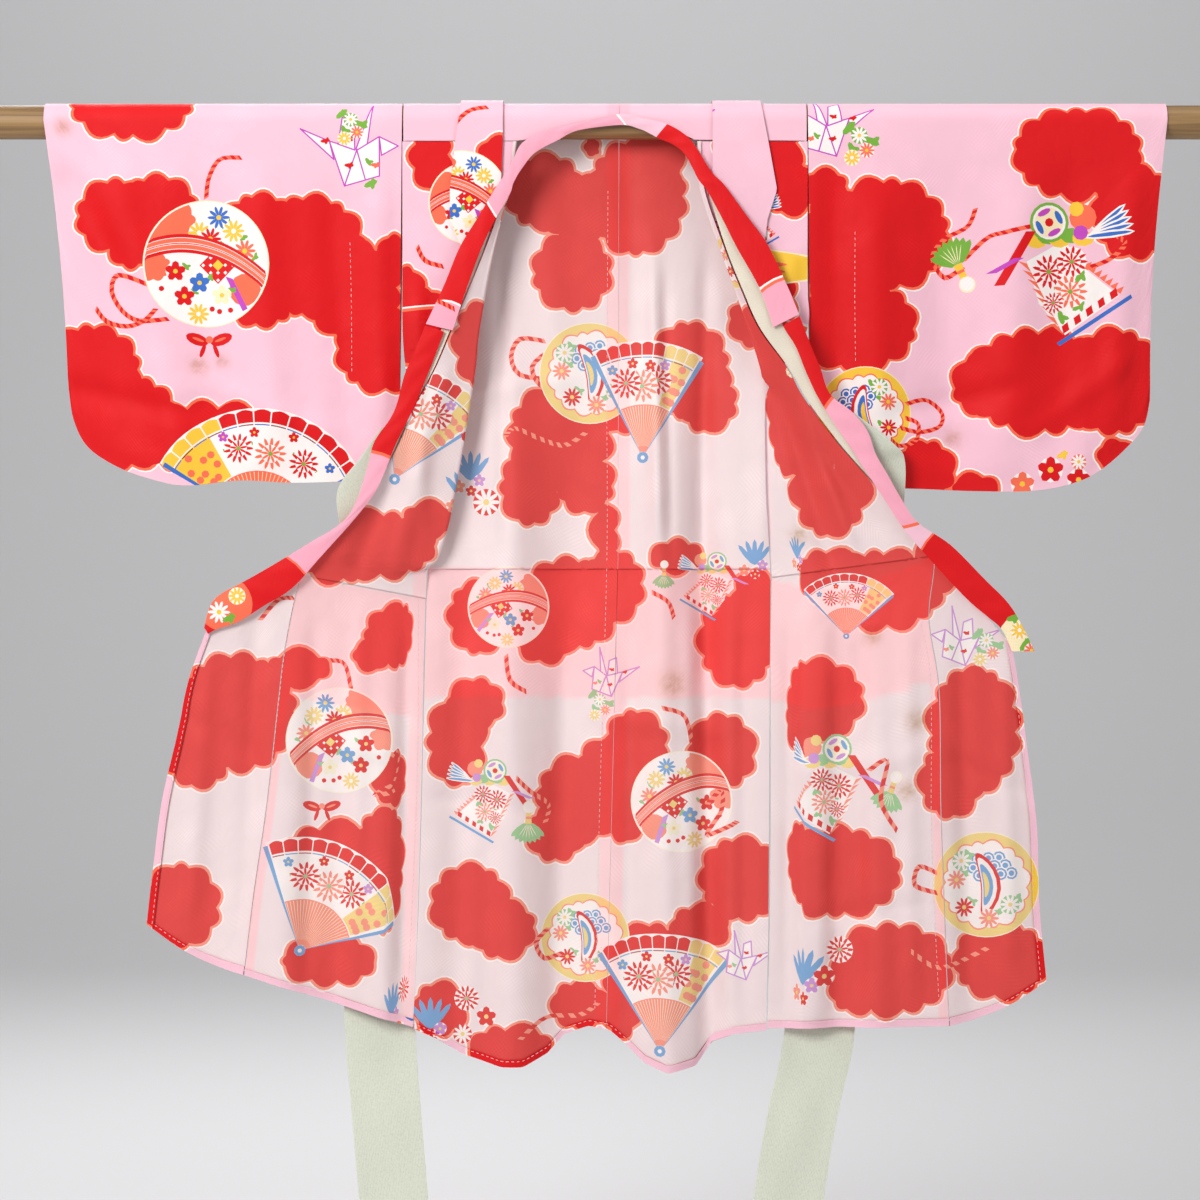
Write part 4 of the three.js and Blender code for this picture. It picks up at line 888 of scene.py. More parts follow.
def lay(panel, rows, columns, shapes):
    """The print's shapes at their places on one layer of a panel, as cloth places. Long edges are
    stepped first, so that they follow the folds."""
    stepped = []
    for dye, outline in shapes:
        after = np.roll(outline, -1, axis=0)
        parts = np.maximum(1, np.ceil(np.linalg.norm(after - outline, axis=1) / 4.5).astype(int))
        line = [a + (b - a) * k / n for a, b, n in zip(outline, after, parts) for k in range(n)]
        stepped.append((dye, np.array(line)))
    if not stepped:
        return []
    ends = np.cumsum([0] + [len(o) for _, o in stepped])
    found = panel.find(np.vstack([o for _, o in stepped]), rows, columns)
    return [(dye, found[ends[k] : ends[k + 1]]) for k, (dye, _) in enumerate(stepped)]


SLEEVE_ACROSS = 68
SLEEVE_DOWN = 84
SLEEVE_TURNS = 15
SLEEVE_HALF = SLEEVE_DOWN - 1 + SLEEVE_TURNS // 2


def sleeve_panel(table, creases):
    """Rows go from the front's lower seam up, over the rod and down to the back's lower seam."""
    sections = along(table, np.linspace(0, len(table) - 1, SLEEVE_ACROSS))
    down = [(-1, d) for d in np.linspace(1, 0, SLEEVE_DOWN)[:-1]]
    turns = [(t, 0.0) for t in np.linspace(-math.pi / 2, math.pi / 2, SLEEVE_TURNS)]
    way = down + turns + [(1, d) for d in np.linspace(0, 1, SLEEVE_DOWN)[1:]]
    grid = np.zeros((len(way), len(sections), 3))
    for i, (turn, drop) in enumerate(way):
        quarter = turn if drop == 0.0 else turn * math.pi / 2
        if i < len(down):
            quarter = -math.pi / 2
        half = mix(MIDDLE_RADIUS, SLEEVE_FOOT, ease(drop))
        if drop > 0.93:
            half = mix(half, 0.45, ease((drop - 0.93) / 0.07))
        top_x, foot_x, foot_z, bow_out, depth = sections.T
        grid[i, :, 0] = mix(top_x, foot_x, drop) + bow_out * math.sin(math.pi * drop)
        grid[i, :, 1] = half * math.sin(quarter) + depth * drop
        grid[i, :, 2] = MIDDLE_RADIUS * math.cos(quarter) if drop == 0 else foot_z * drop
    panel = Panel(grid)
    plain = panel.grid[..., 1].copy()
    panel.press(creases)
    lower = ease(-panel.grid[..., 2] / 60)
    for half in (slice(0, SLEEVE_HALF), slice(-SLEEVE_HALF, None)):
        panel.grid[half, :, 1] = plain[half] + (panel.grid[half, :, 1] - plain[half]) * lower[half]
    return Panel(panel.grid)


LEFT_SLEEVE_CREASES = (
    (-520, -40, -440, -180, 16, 3.0), (-470, -30, -400, -330, 20, -3.5), (-390, -60, -360, -330, 24, 3.0),
    (-330, -40, -310, -320, 18, -3.0), (-260, -60, -240, -330, 15, 3.0), (-215, -40, -212, -320, 10, -2.5),
    (-520, -250, -380, -280, 12, 2.0), (-400, -240, -250, -300, 12, -1.6),
)
RIGHT_SLEEVE_CREASES = (
    (215, -40, 220, -330, 11, 2.6), (255, -60, 262, -340, 16, -3.0), (310, -50, 330, -340, 22, 3.4),
    (390, -60, 380, -340, 20, -3.2), (440, -30, 430, -330, 22, 3.0), (500, -40, 480, -300, 16, -2.6),
    (260, -280, 400, -250, 12, 1.8), (400, -300, 500, -220, 12, -1.6),
)
left_outer = (
    clouds((133, 102, 64, 40), (118, 218, 42, 38), (160, 214, 42, 38), (134, 248, 28, 24),
           (262, 262, 52, 68), (312, 258, 58, 62), (354, 292, 48, 52), (396, 262, 20, 30),
           (384, 350, 50, 44),
           (92, 374, 52, 50), (122, 422, 62, 48), (205, 438, 80, 34), (340, 476, 22, 14))
    + string([(208, 200), (211, 180), (222, 162), (243, 160)])
    + string([(150, 286), (120, 276), (113, 292), (124, 312), (142, 322), (170, 320)])
    + string([(97, 309), (108, 322), (128, 327), (146, 322), (158, 310)])
    + temari(208, 265, 62, 0.0) + bow(210, 340, 22)
    + fan(258, 522, 112, 2.62, 0.42, 13) + paper_crane(352, 152, 52, 1, -0.1)
    + sprig(*mm(352, 122), 12) + leaf(*mm(372, 186), 7, 0.4)
)
right_outer = (
    clouds((1075, 155, 66, 46), (1132, 214, 44, 48), (824, 192, 26, 24), (884, 236, 66, 56),
           (838, 250, 42, 62),
           (856, 326, 62, 46), (1040, 382, 80, 52), (1112, 382, 52, 54), (984, 384, 34, 34),
           (925, 470, 34, 32),
           (976, 488, 28, 16), (1117, 456, 24, 20))
    + string([(974, 210), (966, 228), (944, 240), (932, 258), (944, 278), (962, 268)])
    + string([(962, 262), (985, 240), (1004, 234), (1040, 226)])
    + string([(1075, 272), (1105, 262), (1122, 246), (1112, 236)])
    + treasures(1062, 272, 74, 1, 0.06) + tassel(958, 268, 32, 0.45)
    + paper_crane(830, 128, 44, -1, 0.1) + sprig(*mm(858, 138), 14)
    + wave_ball(864, 414, 46, 0.2)
    + string([(906, 404), (926, 400), (942, 412), (940, 426), (920, 432), (900, 428)])
    + string([(905, 418), (918, 424), (916, 440), (900, 446), (890, 440)])
    + plum(*mm(1022, 484), 12, "orange") + plum(*mm(1050, 470), 13, "red") + plum(*mm(1078, 480), 12, "red")
    + daisy(*mm(1078, 462), 8) + leaf(*mm(1062, 455), 6, 0.4, "yellow")
)
left_back = (
    clouds((110, 150, 50, 40), (190, 170, 60, 44), (300, 300, 70, 60), (350, 350, 50, 60), (130, 400, 70, 50),
           (90, 300, 30, 34), (370, 130, 40, 34))
    + temari(292, 190, 52, -0.3, -1) + fan(150, 350, 92, 0.5, 2.3, 12) + paper_crane(200, 270, 44, -1, 0.1)
    + sprig(*mm(360, 240), 12) + string([(330, 225), (350, 245), (340, 268), (318, 262)])
    + bow(250, 420, 20)
)
right_back = (
    clouds((860, 150, 56, 44), (1080, 180, 62, 50), (1120, 230, 36, 40), (900, 330, 70, 56),
           (1060, 400, 70, 50),
           (840, 440, 40, 34))
    + temari(1000, 250, 54, 0.4, -1) + fan(1070, 350, 88, 0.6, 2.2, 12) + treasures(880, 240, 60, -1, 0.0)
    + sprig(*mm(960, 390), 13) + string([(955, 225), (930, 215), (925, 240), (948, 255)])
)
for name, table, creases, front_print, back_print, marks in (
    ("sleeve_left", SLEEVE_LEFT, LEFT_SLEEVE_CREASES, left_outer, left_back,
     ((-513, -7, 8), (-386, -232, 9), (-364, -227, 6))),
    ("sleeve_right", SLEEVE_RIGHT, RIGHT_SLEEVE_CREASES, right_outer, right_back, ((330, -300, 8),)),
):
    panel = sleeve_panel(table, creases)
    rows, columns = panel.grid.shape[:2]
    shapes = lay(panel, (0, SLEEVE_DOWN), (0, columns), front_print)
    shapes += lay(panel, (rows - SLEEVE_DOWN, rows), (0, columns), back_print)
    panels[name] = panel
    mesh = printed_shell(name, panel, shapes, SILK, 1, None, marks)
    mesh.materials.append(printed_silk)
    piece = finished(mesh, name + "_silk", [name])


# Back
# Two body lengths meet in the centre-back seam and hang from the rod. Seen from the open front
# they show the reverse of the silk, where the print is paler.
BACK_TOP = ((-192, 47), (-84, 47), (-68, 45), (-57, 39), (-27, 31), (14, 23), (33, 26), (55, 31), (72, 40),
    (84, 46), (191, 47))
BACK_HEM = ((-190, -858), (-162, -871), (-136, -887), (-99, -898), (-79, -898), (-56, -886), (-40, -869),
    (-16, -861), (4, -864), (18, -876), (38, -895), (60, -904), (85, -898), (102, -876), (122, -867),
    (160, -862))
# z, x, y
BACK_SIDE_LEFT = ((20, -191.8, 17), (-64, -191.8, 16.4), (-121, -191.8, 14.5), (-197, -191.8, 12),
    (-273, -184, 11), (-349, -175, 11), (-387, -172, 10), (-422, -170, 8), (-452, -171, 6),
    (-580, -174, 6), (-670, -176, 6), (-770, -179, 6), (-860, -183, 6))
BACK_SIDE_RIGHT = ((20, 190.8, 17), (-64, 190.8, 16.4), (-121, 190.8, 14.5), (-197, 190.8, 12),
    (-235, 166, 10), (-258, 153, 7), (-285, 152, 6), (-352, 153, 6), (-432, 158, 6), (-560, 157, 6),
    (-770, 156, 6), (-861, 154, 6))
BACK_SEAM = ((20, 13), (-416, 12), (-870, 1))
# topX, hemX, depth, width, from
BACK_FOLDS = ((-150, -150, 6, 20, -250), (-97, -88, -15, 26, -130), (-35, -30, 9, 28, -200),
    (48, 60, -14, 20, -120), (90, 101, 11, 13, -160), (128, 128, -7, 14, -280))
WAIST_BACK_Z = -424
WAIST_STEP = 1.6
WAIST_FINE = (3.5, 1.8, 0.8, 0.1, -0.1, -0.9, -2)
BACK_FOOT_Z = -880


def level(table, key, value, column):
    """A column's value where another column has a given value, on straight lines."""
    rows = np.array(table, float)
    if rows[-1, key] < rows[0, key]:
        rows = rows[::-1]
    return np.interp(value, rows[:, key], rows[:, column])


def fold_depth(folds, x, z, top, foot):
    down = np.clip((top - z) / (top - foot), 0, 1)
    moved = np.zeros_like(np.asarray(x, float))
    for top_x, hem_x, depth, width, begins in folds:
        away = (x - mix(top_x, hem_x, down)) / width
        moved = moved + depth * ease((begins - z) / 240) * np.exp(-away * away)
    return moved


def over_rod(drop):
    """y and z of cloth laid over the rod, by its distance along the cloth from the top."""
    turned = np.clip(drop, -QUARTER_TURN, QUARTER_TURN) / MIDDLE_RADIUS
    fallen = np.maximum(np.abs(drop) - QUARTER_TURN, 0)
    return MIDDLE_RADIUS * np.sin(turned), MIDDLE_RADIUS * np.cos(turned) - fallen


def back_y(side, x, z):
    side_y = level(side, 0, z, 2)
    inward = ease(np.abs(x - level(side, 0, z, 1)) / 70)
    return mix(side_y, MIDDLE_RADIUS + fold_depth(BACK_FOLDS, x, z, 0, BACK_FOOT_Z), inward)


def at_waist(above):
    """How far the cloth above the waist seam stands towards the viewer, as a folded edge does."""
    return np.where(above > 0, WAIST_STEP * np.exp(-np.maximum(above, 0) / 26), 0)


BACK_ACROSS = 46
BACK_RISE = 30
BACK_DOWN = 178


def back_grid(side, rise=BACK_RISE, plains=None):
    """Rows go from the neck's edge over the rod and down to the hem, or only the given heights."""
    turned = side[0][1] > 0
    sign = 1 if turned else -1
    across = np.linspace(0, 1, BACK_ACROSS)
    if turned:
        across = 1 - across
    rows = []

    def x_at(z):
        return mix(level(side, 0, z, 1) - sign * 0.8, level(BACK_SEAM, 0, z, 1) + sign * 0.18, across)

    for k in range(rise):
        x = x_at(np.full(BACK_ACROSS, 20.0))
        start = -level(BACK_TOP, 0, x, 1)
        y, z = over_rod(mix(start, QUARTER_TURN + 4, k / rise))
        rows.append(np.column_stack([x, y, z]))
    if plains is None:
        plains = np.linspace(-6, BACK_FOOT_Z, BACK_DOWN)
        plains = np.sort(np.concatenate([plains, WAIST_BACK_Z + np.array(WAIST_FINE)]))[::-1]
    for plain in plains:
        x = x_at(np.full(BACK_ACROSS, plain))
        hem = level(BACK_HEM, 0, x, 1)
        lowered = max(0, (WAIST_BACK_Z - plain) / (WAIST_BACK_Z - BACK_FOOT_Z))
        z = np.full(BACK_ACROSS, plain) if plain > WAIST_BACK_Z else mix(WAIST_BACK_Z, hem, lowered)
        rows.append(np.column_stack([x, back_y(side, x, z) - at_waist(plain - WAIST_BACK_Z), z]))
    return np.array(rows)


BACK_CREASES = (
    (-101, -120, -96, -420, 8, 2.5), (45, -110, 50, -400, 7, -3.0), (57, -150, 62, -420, 6, 2.6),
    (96, -120, 92, -420, 8, 2.8), (150, -200, 150, -420, 9, -2.5), (-60, -60, -40, -300, 16, -2.2),
    (20, -30, 30, -220, 12, 2.0), (-150, -260, -20, -240, 9, -1.2), (-40, -470, -50, -860, 12, 2.5),
    (-120, -470, -128, -870, 12, -2.6), (24, -470, 20, -860, 10, 2.0), (80, -440, 84, -880, 10, -2.8),
    (130, -450, 132, -860, 9, 2.4), (-20, -560, 120, -580, 10, -1.2), (-170, -640, -40, -660, 10, 1.2),
    (-160, -300, -150, -420, 8, 2.0),
)
back_reverse = (
    clouds((545, 190, 42, 40), (578, 206, 40, 38), (572, 270, 42, 42), (592, 145, 12, 14), (636, 195, 52, 60),
           (655, 165, 30, 44), (690, 370, 42, 52), (708, 402, 32, 32), (620, 405, 30, 30),
           (560, 436, 54, 54),
           (530, 488, 32, 40), (585, 482, 32, 34), (606, 530, 14, 32), (478, 617, 32, 40),
           (570, 604, 54, 48),
           (545, 640, 32, 26), (612, 586, 34, 40), (677, 556, 32, 18), (738, 640, 40, 50),
           (756, 600, 26, 34),
           (475, 704, 32, 28), (456, 742, 30, 48), (580, 800, 46, 46), (556, 834, 32, 32),
           (602, 770, 26, 34),
           (636, 746, 34, 38), (624, 800, 26, 48), (722, 752, 36, 40), (470, 905, 42, 42),
           (502, 930, 36, 32),
           (742, 880, 44, 44), (652, 966, 44, 44), (622, 1000, 20, 46), (700, 930, 34, 26),
           (510, 1050, 46, 24),
           (580, 1008, 34, 26), (440, 1010, 30, 30))
    + clouds((770, 180, 40, 40), (430, 260, 36, 50), (760, 320, 34, 30))
    + string([(545, 340), (520, 338), (511, 356), (520, 374), (548, 378)])
    + string([(545, 352), (532, 366), (540, 384), (560, 386)]) + wave_ball(590, 372, 50, 0.2, -1)
    + fan(643, 457, 116, 1.05, 2.0, 9)
    + string([(505, 436), (515, 428), (540, 438), (565, 444), (588, 430)])
    + temari(508, 607, 40, -0.2, -1) + string([(506, 655), (510, 680), (526, 692)])
    + daisy(*mm(486, 502), 14, "white", "red") + iris(755, 565, 26) + iris(470, 480, 30)
    + treasures(712, 585, 36, -1) + string([(652, 592), (668, 602), (674, 618)]) + tassel(664, 574, 16, 3.1)
    + paper_crane(610, 676, 30, -1) + sprig(*mm(600, 700), 10)
    + temari(682, 802, 50, 0.15, -1) + string([(662, 708), (684, 716), (692, 742)])
    + string([(708, 806), (722, 792), (722, 812), (708, 836), (728, 828), (738, 822)])
    + treasures(488, 800, 44, -1) + tassel(528, 822, 24, 3.1)
    + string([(516, 778), (530, 792), (548, 806), (544, 826)])
    + wave_ball(585, 940, 44, 0.1, -1) + string([(548, 930), (536, 944), (544, 960), (562, 956)])
    + fan(660, 1052, 116, 0.95, 2.1, 10) + string([(520, 1040), (545, 1020), (580, 1018), (600, 1004)])
    + paper_crane(745, 960, 30, -1) + iris(430, 1030, 32) + mum(*mm(466, 1000), 13)
    + plum(*mm(486, 1018), 10, "red")
    + daisy(*mm(462, 1036), 10, "white", "red")
)


def doubled_back(place):
    x, z = place[:, 0], place[:, 2]
    under_tuck = ease((WAIST_BACK_Z + 3 - z) / 3) * ease((z + 548) / 3)
    seam = level(BACK_SEAM, 0, z, 1)
    allowance = ease((x - seam + 12) / 2) * ease((seam + 12 - x) / 2)
    return np.maximum(under_tuck, 0.8 * allowance)


for name, side in (("back_left", BACK_SIDE_LEFT), ("back_right", BACK_SIDE_RIGHT)):
    panel = Panel(back_grid(side), BACK_CREASES)
    rows, columns = panel.grid.shape[:2]
    shapes = lay(panel, (BACK_RISE + 2, rows), (0, columns), back_reverse)
    panels[name] = panel
    mesh = printed_shell(name, panel, shapes, SILK, 1, doubled_back, ((64, -533, 12), (176, -392, 7)))
    mesh.materials.append(printed_silk)
    piece = finished(mesh, name + "_silk", [name])


# Fronts
# The same two lengths carry on over the shoulders as the fronts. Each is turned back on itself
# below the collar, so the reverse faces the viewer from the fold outwards.
# sideX, sideZ, sideY, foldX, seamX, seamZ, seamY
FRONT_LEFT = ((-191.8, -20.3, -17.4, -84, -87, -20.3, -19.6), (-191.8, -64, -16.4, -90, -94, -64, -20.6),
    (-191.8, -121, -14.5, -105, -113, -121, -23), (-191.8, -197, -12, -119, -144, -197, -27),
    (-189, -235, -10, -123, -160, -235, -28), (-184, -273, -8, -129, -180, -273, -28),
    (-179, -311, -5, -135, -197, -311, -28), (-175, -349, -2, -142, -219, -349, -27),
    (-172, -387, 0, -150, -249, -381, -25), (-170, -422, 2.5, -161, -272, -407, -23),
    (-171, -452, 6, -171, -287, -430, -20), (-173, -520, 6, -173, -302, -496, -17),
    (-174, -580, 6, -174, -310, -560, -16), (-176, -670, 6, -176, -320, -648, -12),
    (-179, -770, 6, -179, -333, -735, -10), (-183, -860, 6, -183, -342, -809, -10))
FRONT_RIGHT = ((190.8, -20.3, -17.4, 87, 90, -20.3, -19.6), (190.8, -64, -16.4, 89, 93, -64, -20.6),
    (190.8, -121, -14.5, 108, 112, -121, -23), (190.8, -159, -13, 122, 127, -159, -25),
    (190.8, -197, -11, 135, 144, -197, -27), (166, -235, -4, 147, 171, -235, -28),
    (153, -258, 3, 150, 183, -258, -28), (152, -285, 6, 152, 202, -285, -28),
    (152, -311, 6, 152, 223, -311, -28), (153, -352, 6, 153, 257, -349, -27),
    (155, -392, 6, 155, 287, -382, -25), (158, -432, 6, 158, 309, -412, -22),
    (157, -495, 6, 157, 305, -470, -19), (157, -560, 6, 157, 315, -540, -16),
    (157, -660, 6, 157, 317, -650, -13), (156, -770, 6, 156, 321, -760, -11),
    (154, -861, 6, 154, 325, -857, -10))
LEFT_FOLDS = ((-205, -212, -7, 17, -430), (-250, -262, 6, 20, -430), (-298, -306, -5, 18, -500),
    (-350, -372, 6, 22, -500))
RIGHT_FOLDS = ((194, 190, -7, 15, -330), (226, 222, 6, 14, -380), (262, 258, -6, 18, -430),
    (345, 352, 6, 22, -500))
WAIST_ROW_LEFT = 10
WAIST_ROW_RIGHT = 11
FRONT_ROW = 35
FLAT_STEPS, TURN_STEPS, OUT_STEPS = 3, 4, 8
FRONT_STEPS = FLAT_STEPS + TURN_STEPS + OUT_STEPS


def front_rows(table, folds, places, steps):
    """The front at real rows of its table: flat to the fold, round it and back out to the seam."""
    grid = np.zeros((len(places), len(steps), 3))
    for i, (side_x, side_z, side_y, fold_x, seam_x, seam_z, seam_y) in enumerate(along(table, places)):
        inward = -np.sign(side_x)
        flat = max((fold_x - side_x) * inward, 0)
        out = max((fold_x - seam_x) * inward, 0)
        radius = min(max(out / 4, 1.2), 3)
        rise = side_y - seam_y
        share = steps / FRONT_STEPS
        turn = np.clip((steps - FLAT_STEPS) / TURN_STEPS, 0, 1) * math.pi - math.pi / 2
        rest = (steps - FLAT_STEPS - TURN_STEPS) / OUT_STEPS
        x = mix(side_x, fold_x - inward * radius, steps / FLAT_STEPS)
        up = np.zeros_like(x)
        turning = steps > FLAT_STEPS
        x = np.where(turning, fold_x + inward * radius * (np.cos(turn) - 1), x)
        up = np.where(turning, radius * (1 + np.sin(turn)), up)
        outward = steps > FLAT_STEPS + TURN_STEPS
        x = np.where(outward, mix(fold_x - inward * radius, seam_x, rest), x)
        up = np.where(outward, mix(2 * radius, rise, rest), up)
        kept = ease(flat / 12)
        x = mix(mix(side_x, seam_x, share), x, kept)
        y = side_y - mix(rise * share, up, kept)
        done = np.clip((x - side_x) / (seam_x - side_x), 0, 1)
        z = mix(side_z, seam_z, done)
        y = y + fold_depth(folds, x, z, -300, -850) * ease(done * 6)
        grid[i, :, 0] = x - inward * 0.21 * (1 - done)
        grid[i, :, 1] = y
        grid[i, :, 2] = z
    if table[0][0] > 0:
        grid = grid[:, ::-1]
    return grid


FINE_ROW = 5.0


def fine_places(table, first, last):
    """Real rows of a table, so close that the grid's rows are about FINE_ROW apart in z."""
    places = []
    for k in range(first, last):
        steps = max(2, int(abs(table[k + 1][1] - table[k][1]) / FINE_ROW))
        places += list(k + np.arange(steps) / steps)
    return np.array(places + [last])


FRONT_PLACES = np.concatenate(
    [np.linspace(0, FLAT_STEPS, 17)[:-1], np.linspace(3, 7, 9)[:-1], np.linspace(7, FRONT_STEPS, 28)]
)
LEFT_CREASES = (
    (-178, -140, -172, -400, 7, -1.6), (-150, -230, -200, -430, 10, -2.6),
    (-200, -330, -240, -430, 10, 2.4),
    (-190, -470, -195, -850, 8, 2.2), (-232, -460, -240, -840, 9, -2.2), (-275, -470, -285, -830, 9, 2.4),
    (-200, -600, -300, -590, 9, -1.2), (-220, -740, -320, -700, 9, 1.2),
)
RIGHT_CREASES = (
    (178, -120, 165, -240, 8, -2.0), (158, -230, 220, -440, 9, 3.2), (168, -230, 240, -420, 7, -2.6),
    (190, -300, 270, -400, 9, 2.0), (176, -470, 174, -850, 8, 2.2), (208, -470, 205, -850, 8, -2.4),
    (242, -470, 240, -850, 9, 2.4), (285, -460, 290, -850, 10, -2.2), (180, -620, 300, -600, 9, -1.2),
    (180, -760, 310, -740, 9, 1.2),
)
left_flat = (
    clouds((432, 160, 22, 36), (404, 296, 24, 32), (424, 336, 32, 50), (410, 420, 30, 40))
    + string([(418, 248), (426, 262), (444, 268)]) + temari(470, 205, 40, 0.3)
)
left_folded = (
    clouds((480, 345, 26, 46), (500, 330, 20, 26), (380, 545, 60, 34), (340, 560, 40, 24), (430, 520, 30, 20),
           (238, 712, 62, 60), (200, 740, 40, 50), (400, 636, 38, 34), (372, 655, 22, 20),
           (300, 668, 36, 18),
           (388, 870, 40, 66), (340, 850, 60, 26), (182, 905, 40, 44), (400, 780, 30, 30), (330, 960, 50, 26))
    + fan(396, 480, 112, 0.62, 1.62, 10) + iris(465, 500, 30) + plum(*mm(475, 440), 14, "red")
    + daisy(*mm(486, 503), 13, "white", "red")
    + string([(330, 660), (345, 664), (352, 690)])
    + string([(385, 760), (408, 752), (402, 778), (376, 794), (404, 790)])
    + temari(340, 740, 52, 0.1, -1) + bow(322, 806, 18) + fan(300, 950, 112, 0.25, 1.85, 12)
    + iris(412, 1022, 34) + mum(*mm(440, 1000), 14) + string([(262, 620), (280, 600), (296, 598)])
)
right_flat = (
    clouds((758, 150, 42, 62), (790, 190, 30, 30), (770, 300, 26, 40))
    + string([(712, 182), (710, 196), (722, 208)]) + treasures(748, 225, 34, 1)
)
right_folded = (
    clouds((760, 350, 30, 50), (790, 420, 34, 60), (830, 480, 40, 60), (880, 590, 64, 40), (830, 576, 40, 28),
           (936, 565, 30, 30), (816, 700, 50, 42), (790, 720, 34, 40), (836, 872, 66, 46),
           (790, 860, 30, 40),
           (972, 730, 46, 66), (950, 780, 34, 40), (892, 968, 62, 46), (1000, 960, 50, 40), (856, 990, 30, 26))
    + wave_ball(742, 260, 30, 0.1, -1) + string([(770, 300), (790, 316), (812, 320)])
    + sprig(*mm(800, 350), 14) + fan(846, 636, 62, 0.75, 2.3, 10)
    + treasures(828, 786, 56, -1) + tassel(890, 790, 24, 2.8)
    + string([(868, 770), (886, 760), (880, 800), (896, 830)])
    + paper_crane(962, 640, 36, -1) + sprig(*mm(984, 640), 12)
    + wave_ball(985, 884, 52, 0.1, -1) + string([(936, 872), (918, 866), (914, 884), (936, 892)])
    + string([(910, 950), (935, 966), (962, 960), (990, 946)])
    + iris(800, 985, 38) + mum(*mm(840, 950), 14) + plum(*mm(824, 976), 11, "red") + iris(790, 560, 24)
)


def doubled_left(place):
    x, z = place[:, 0], place[:, 2]
    line = np.interp(x, (-287, -187, -171), (-430, -449, -452))
    tuck = ease((line - z) / 3) * ease((z - line + 118) / 3) * (x < -171)
    strip = np.interp(z, (-860, -421), (-183, -170))
    side = 0.8 * ease((strip + 1 - x) / 2) * ease((x - strip + 13) / 2) * (z < -425)
    seam = ease((9 - np.abs(x - level(FRONT_LEFT, 5, z, 4))) / 2) * (z < -430)
    return np.maximum(np.maximum(tuck, side), seam)


def doubled_right(place):
    x, z = place[:, 0], place[:, 2]
    line = np.interp(x, (158, 197, 265, 309), (-432, -442, -429, -412))
    seam = ease((9 - np.abs(x - level(FRONT_RIGHT, 5, z, 4))) / 2) * (z < -412)
    return np.maximum(ease((line - z) / 3) * ease((z - line + 118) / 3) * (x > 156), seam)


for name, table, folds, creases, flat_print, folded_print, doubled, marks in (
    (
        "front_left", FRONT_LEFT, LEFT_FOLDS, LEFT_CREASES, left_flat, left_folded, doubled_left,
        ((-340, -639, 9),)
    ),
    ("front_right", FRONT_RIGHT, RIGHT_FOLDS, RIGHT_CREASES, right_flat, right_folded, doubled_right,
     ((294, -568, 10), (285, -634, 9), (253, -487, 8), (184, -392, 8))),
):
    waist = WAIST_ROW_LEFT if name == "front_left" else WAIST_ROW_RIGHT
    places = fine_places(table, 0, len(table) - 1)
    places = np.sort(np.concatenate([places, waist - np.array(WAIST_FINE) / FRONT_ROW]))
    grid = front_rows(table, folds, places, FRONT_PLACES)
    grid[..., 1] -= at_waist((waist - places) * FRONT_ROW)[:, None]
    panel = Panel(grid, creases)
    rows, columns = panel.grid.shape[:2]
    flat_columns, out_columns = (0, 18), (23, columns)
    if name == "front_right":
        flat_columns, out_columns = (columns - 18, columns), (0, columns - 23)
    waist_row = int(np.searchsorted(places, 10))
    shapes = lay(panel, (0, waist_row), flat_columns, flat_print)
    shapes += lay(panel, (0, rows), out_columns, folded_print)
    panels[name] = panel
    mesh = printed_shell(name, panel, shapes, SILK, -1, doubled, marks)
    mesh.materials.append(printed_silk)
    piece = finished(mesh, name + "_silk", [name])


# Overlap panels
# A narrow panel is sewn to each front's outer seam below the collar and carries the front edge.
EDGE_LEFT = ((-376, -480, -20), (-394, -531, -17), (-406, -586, -14), (-420, -644, -9), (-429, -710, -5),
    (-435, -761, -3))
EDGE_RIGHT = ((383, -496, -22), (391, -542, -19), (398, -590, -15), (408, -665, -10), (411, -742, -6),
    (418, -815, -4))
OVERLAP_ACROSS = 22


def overlap_grid(table, edges, folds, first_row):
    places = fine_places([(0, row[1]) for row in edges], 0, len(edges) - 1)
    seams = along(table, first_row + places)
    ends = along(edges, places)
    outward = np.sign(table[0][0])
    across = np.linspace(0, 1, OVERLAP_ACROSS)
    if outward < 0:
        across = 1 - across
    seam_x, seam_z, seam_y = (seams[:, k][:, None] for k in (4, 5, 6))
    edge_x, edge_z, edge_y = (ends[:, k][:, None] for k in (0, 1, 2))
    x = mix(seam_x + outward * 0.8, edge_x, across)
    sag = 7 * np.sin(math.pi * across) * (places / (len(edges) - 1))[:, None]
    z = mix(seam_z, edge_z, across) - sag
    y = mix(seam_y, edge_y, across)
    return np.stack([x, y + fold_depth(folds, x, z, -300, -850), z], axis=2)


for name, table, edges, folds, first_row, print_here, creases in (
    ("overlap_left", FRONT_LEFT, EDGE_LEFT, LEFT_FOLDS, WAIST_ROW_LEFT, left_folded,
     ((-330, -460, -345, -800, 9, 2.4), (-375, -500, -395, -770, 9, -2.0), (-400, -560, -330, -600, 8, 1.2))),
    ("overlap_right", FRONT_RIGHT, EDGE_RIGHT, RIGHT_FOLDS, WAIST_ROW_RIGHT, right_folded,
     ((335, -470, 345, -830, 9, 2.4), (375, -500, 385, -800, 9, -2.0), (320, -600, 400, -640, 8, 1.2))),
):
    panel = Panel(overlap_grid(table, edges, folds, first_row), creases)
    rows, columns = panel.grid.shape[:2]
    shapes = lay(panel, (0, rows), (0, columns), print_here)
    panels[name] = panel
    mesh = printed_shell(name, panel, shapes, SILK, 1)
    mesh.materials.append(printed_silk)
    piece = finished(mesh, name + "_silk", [name])


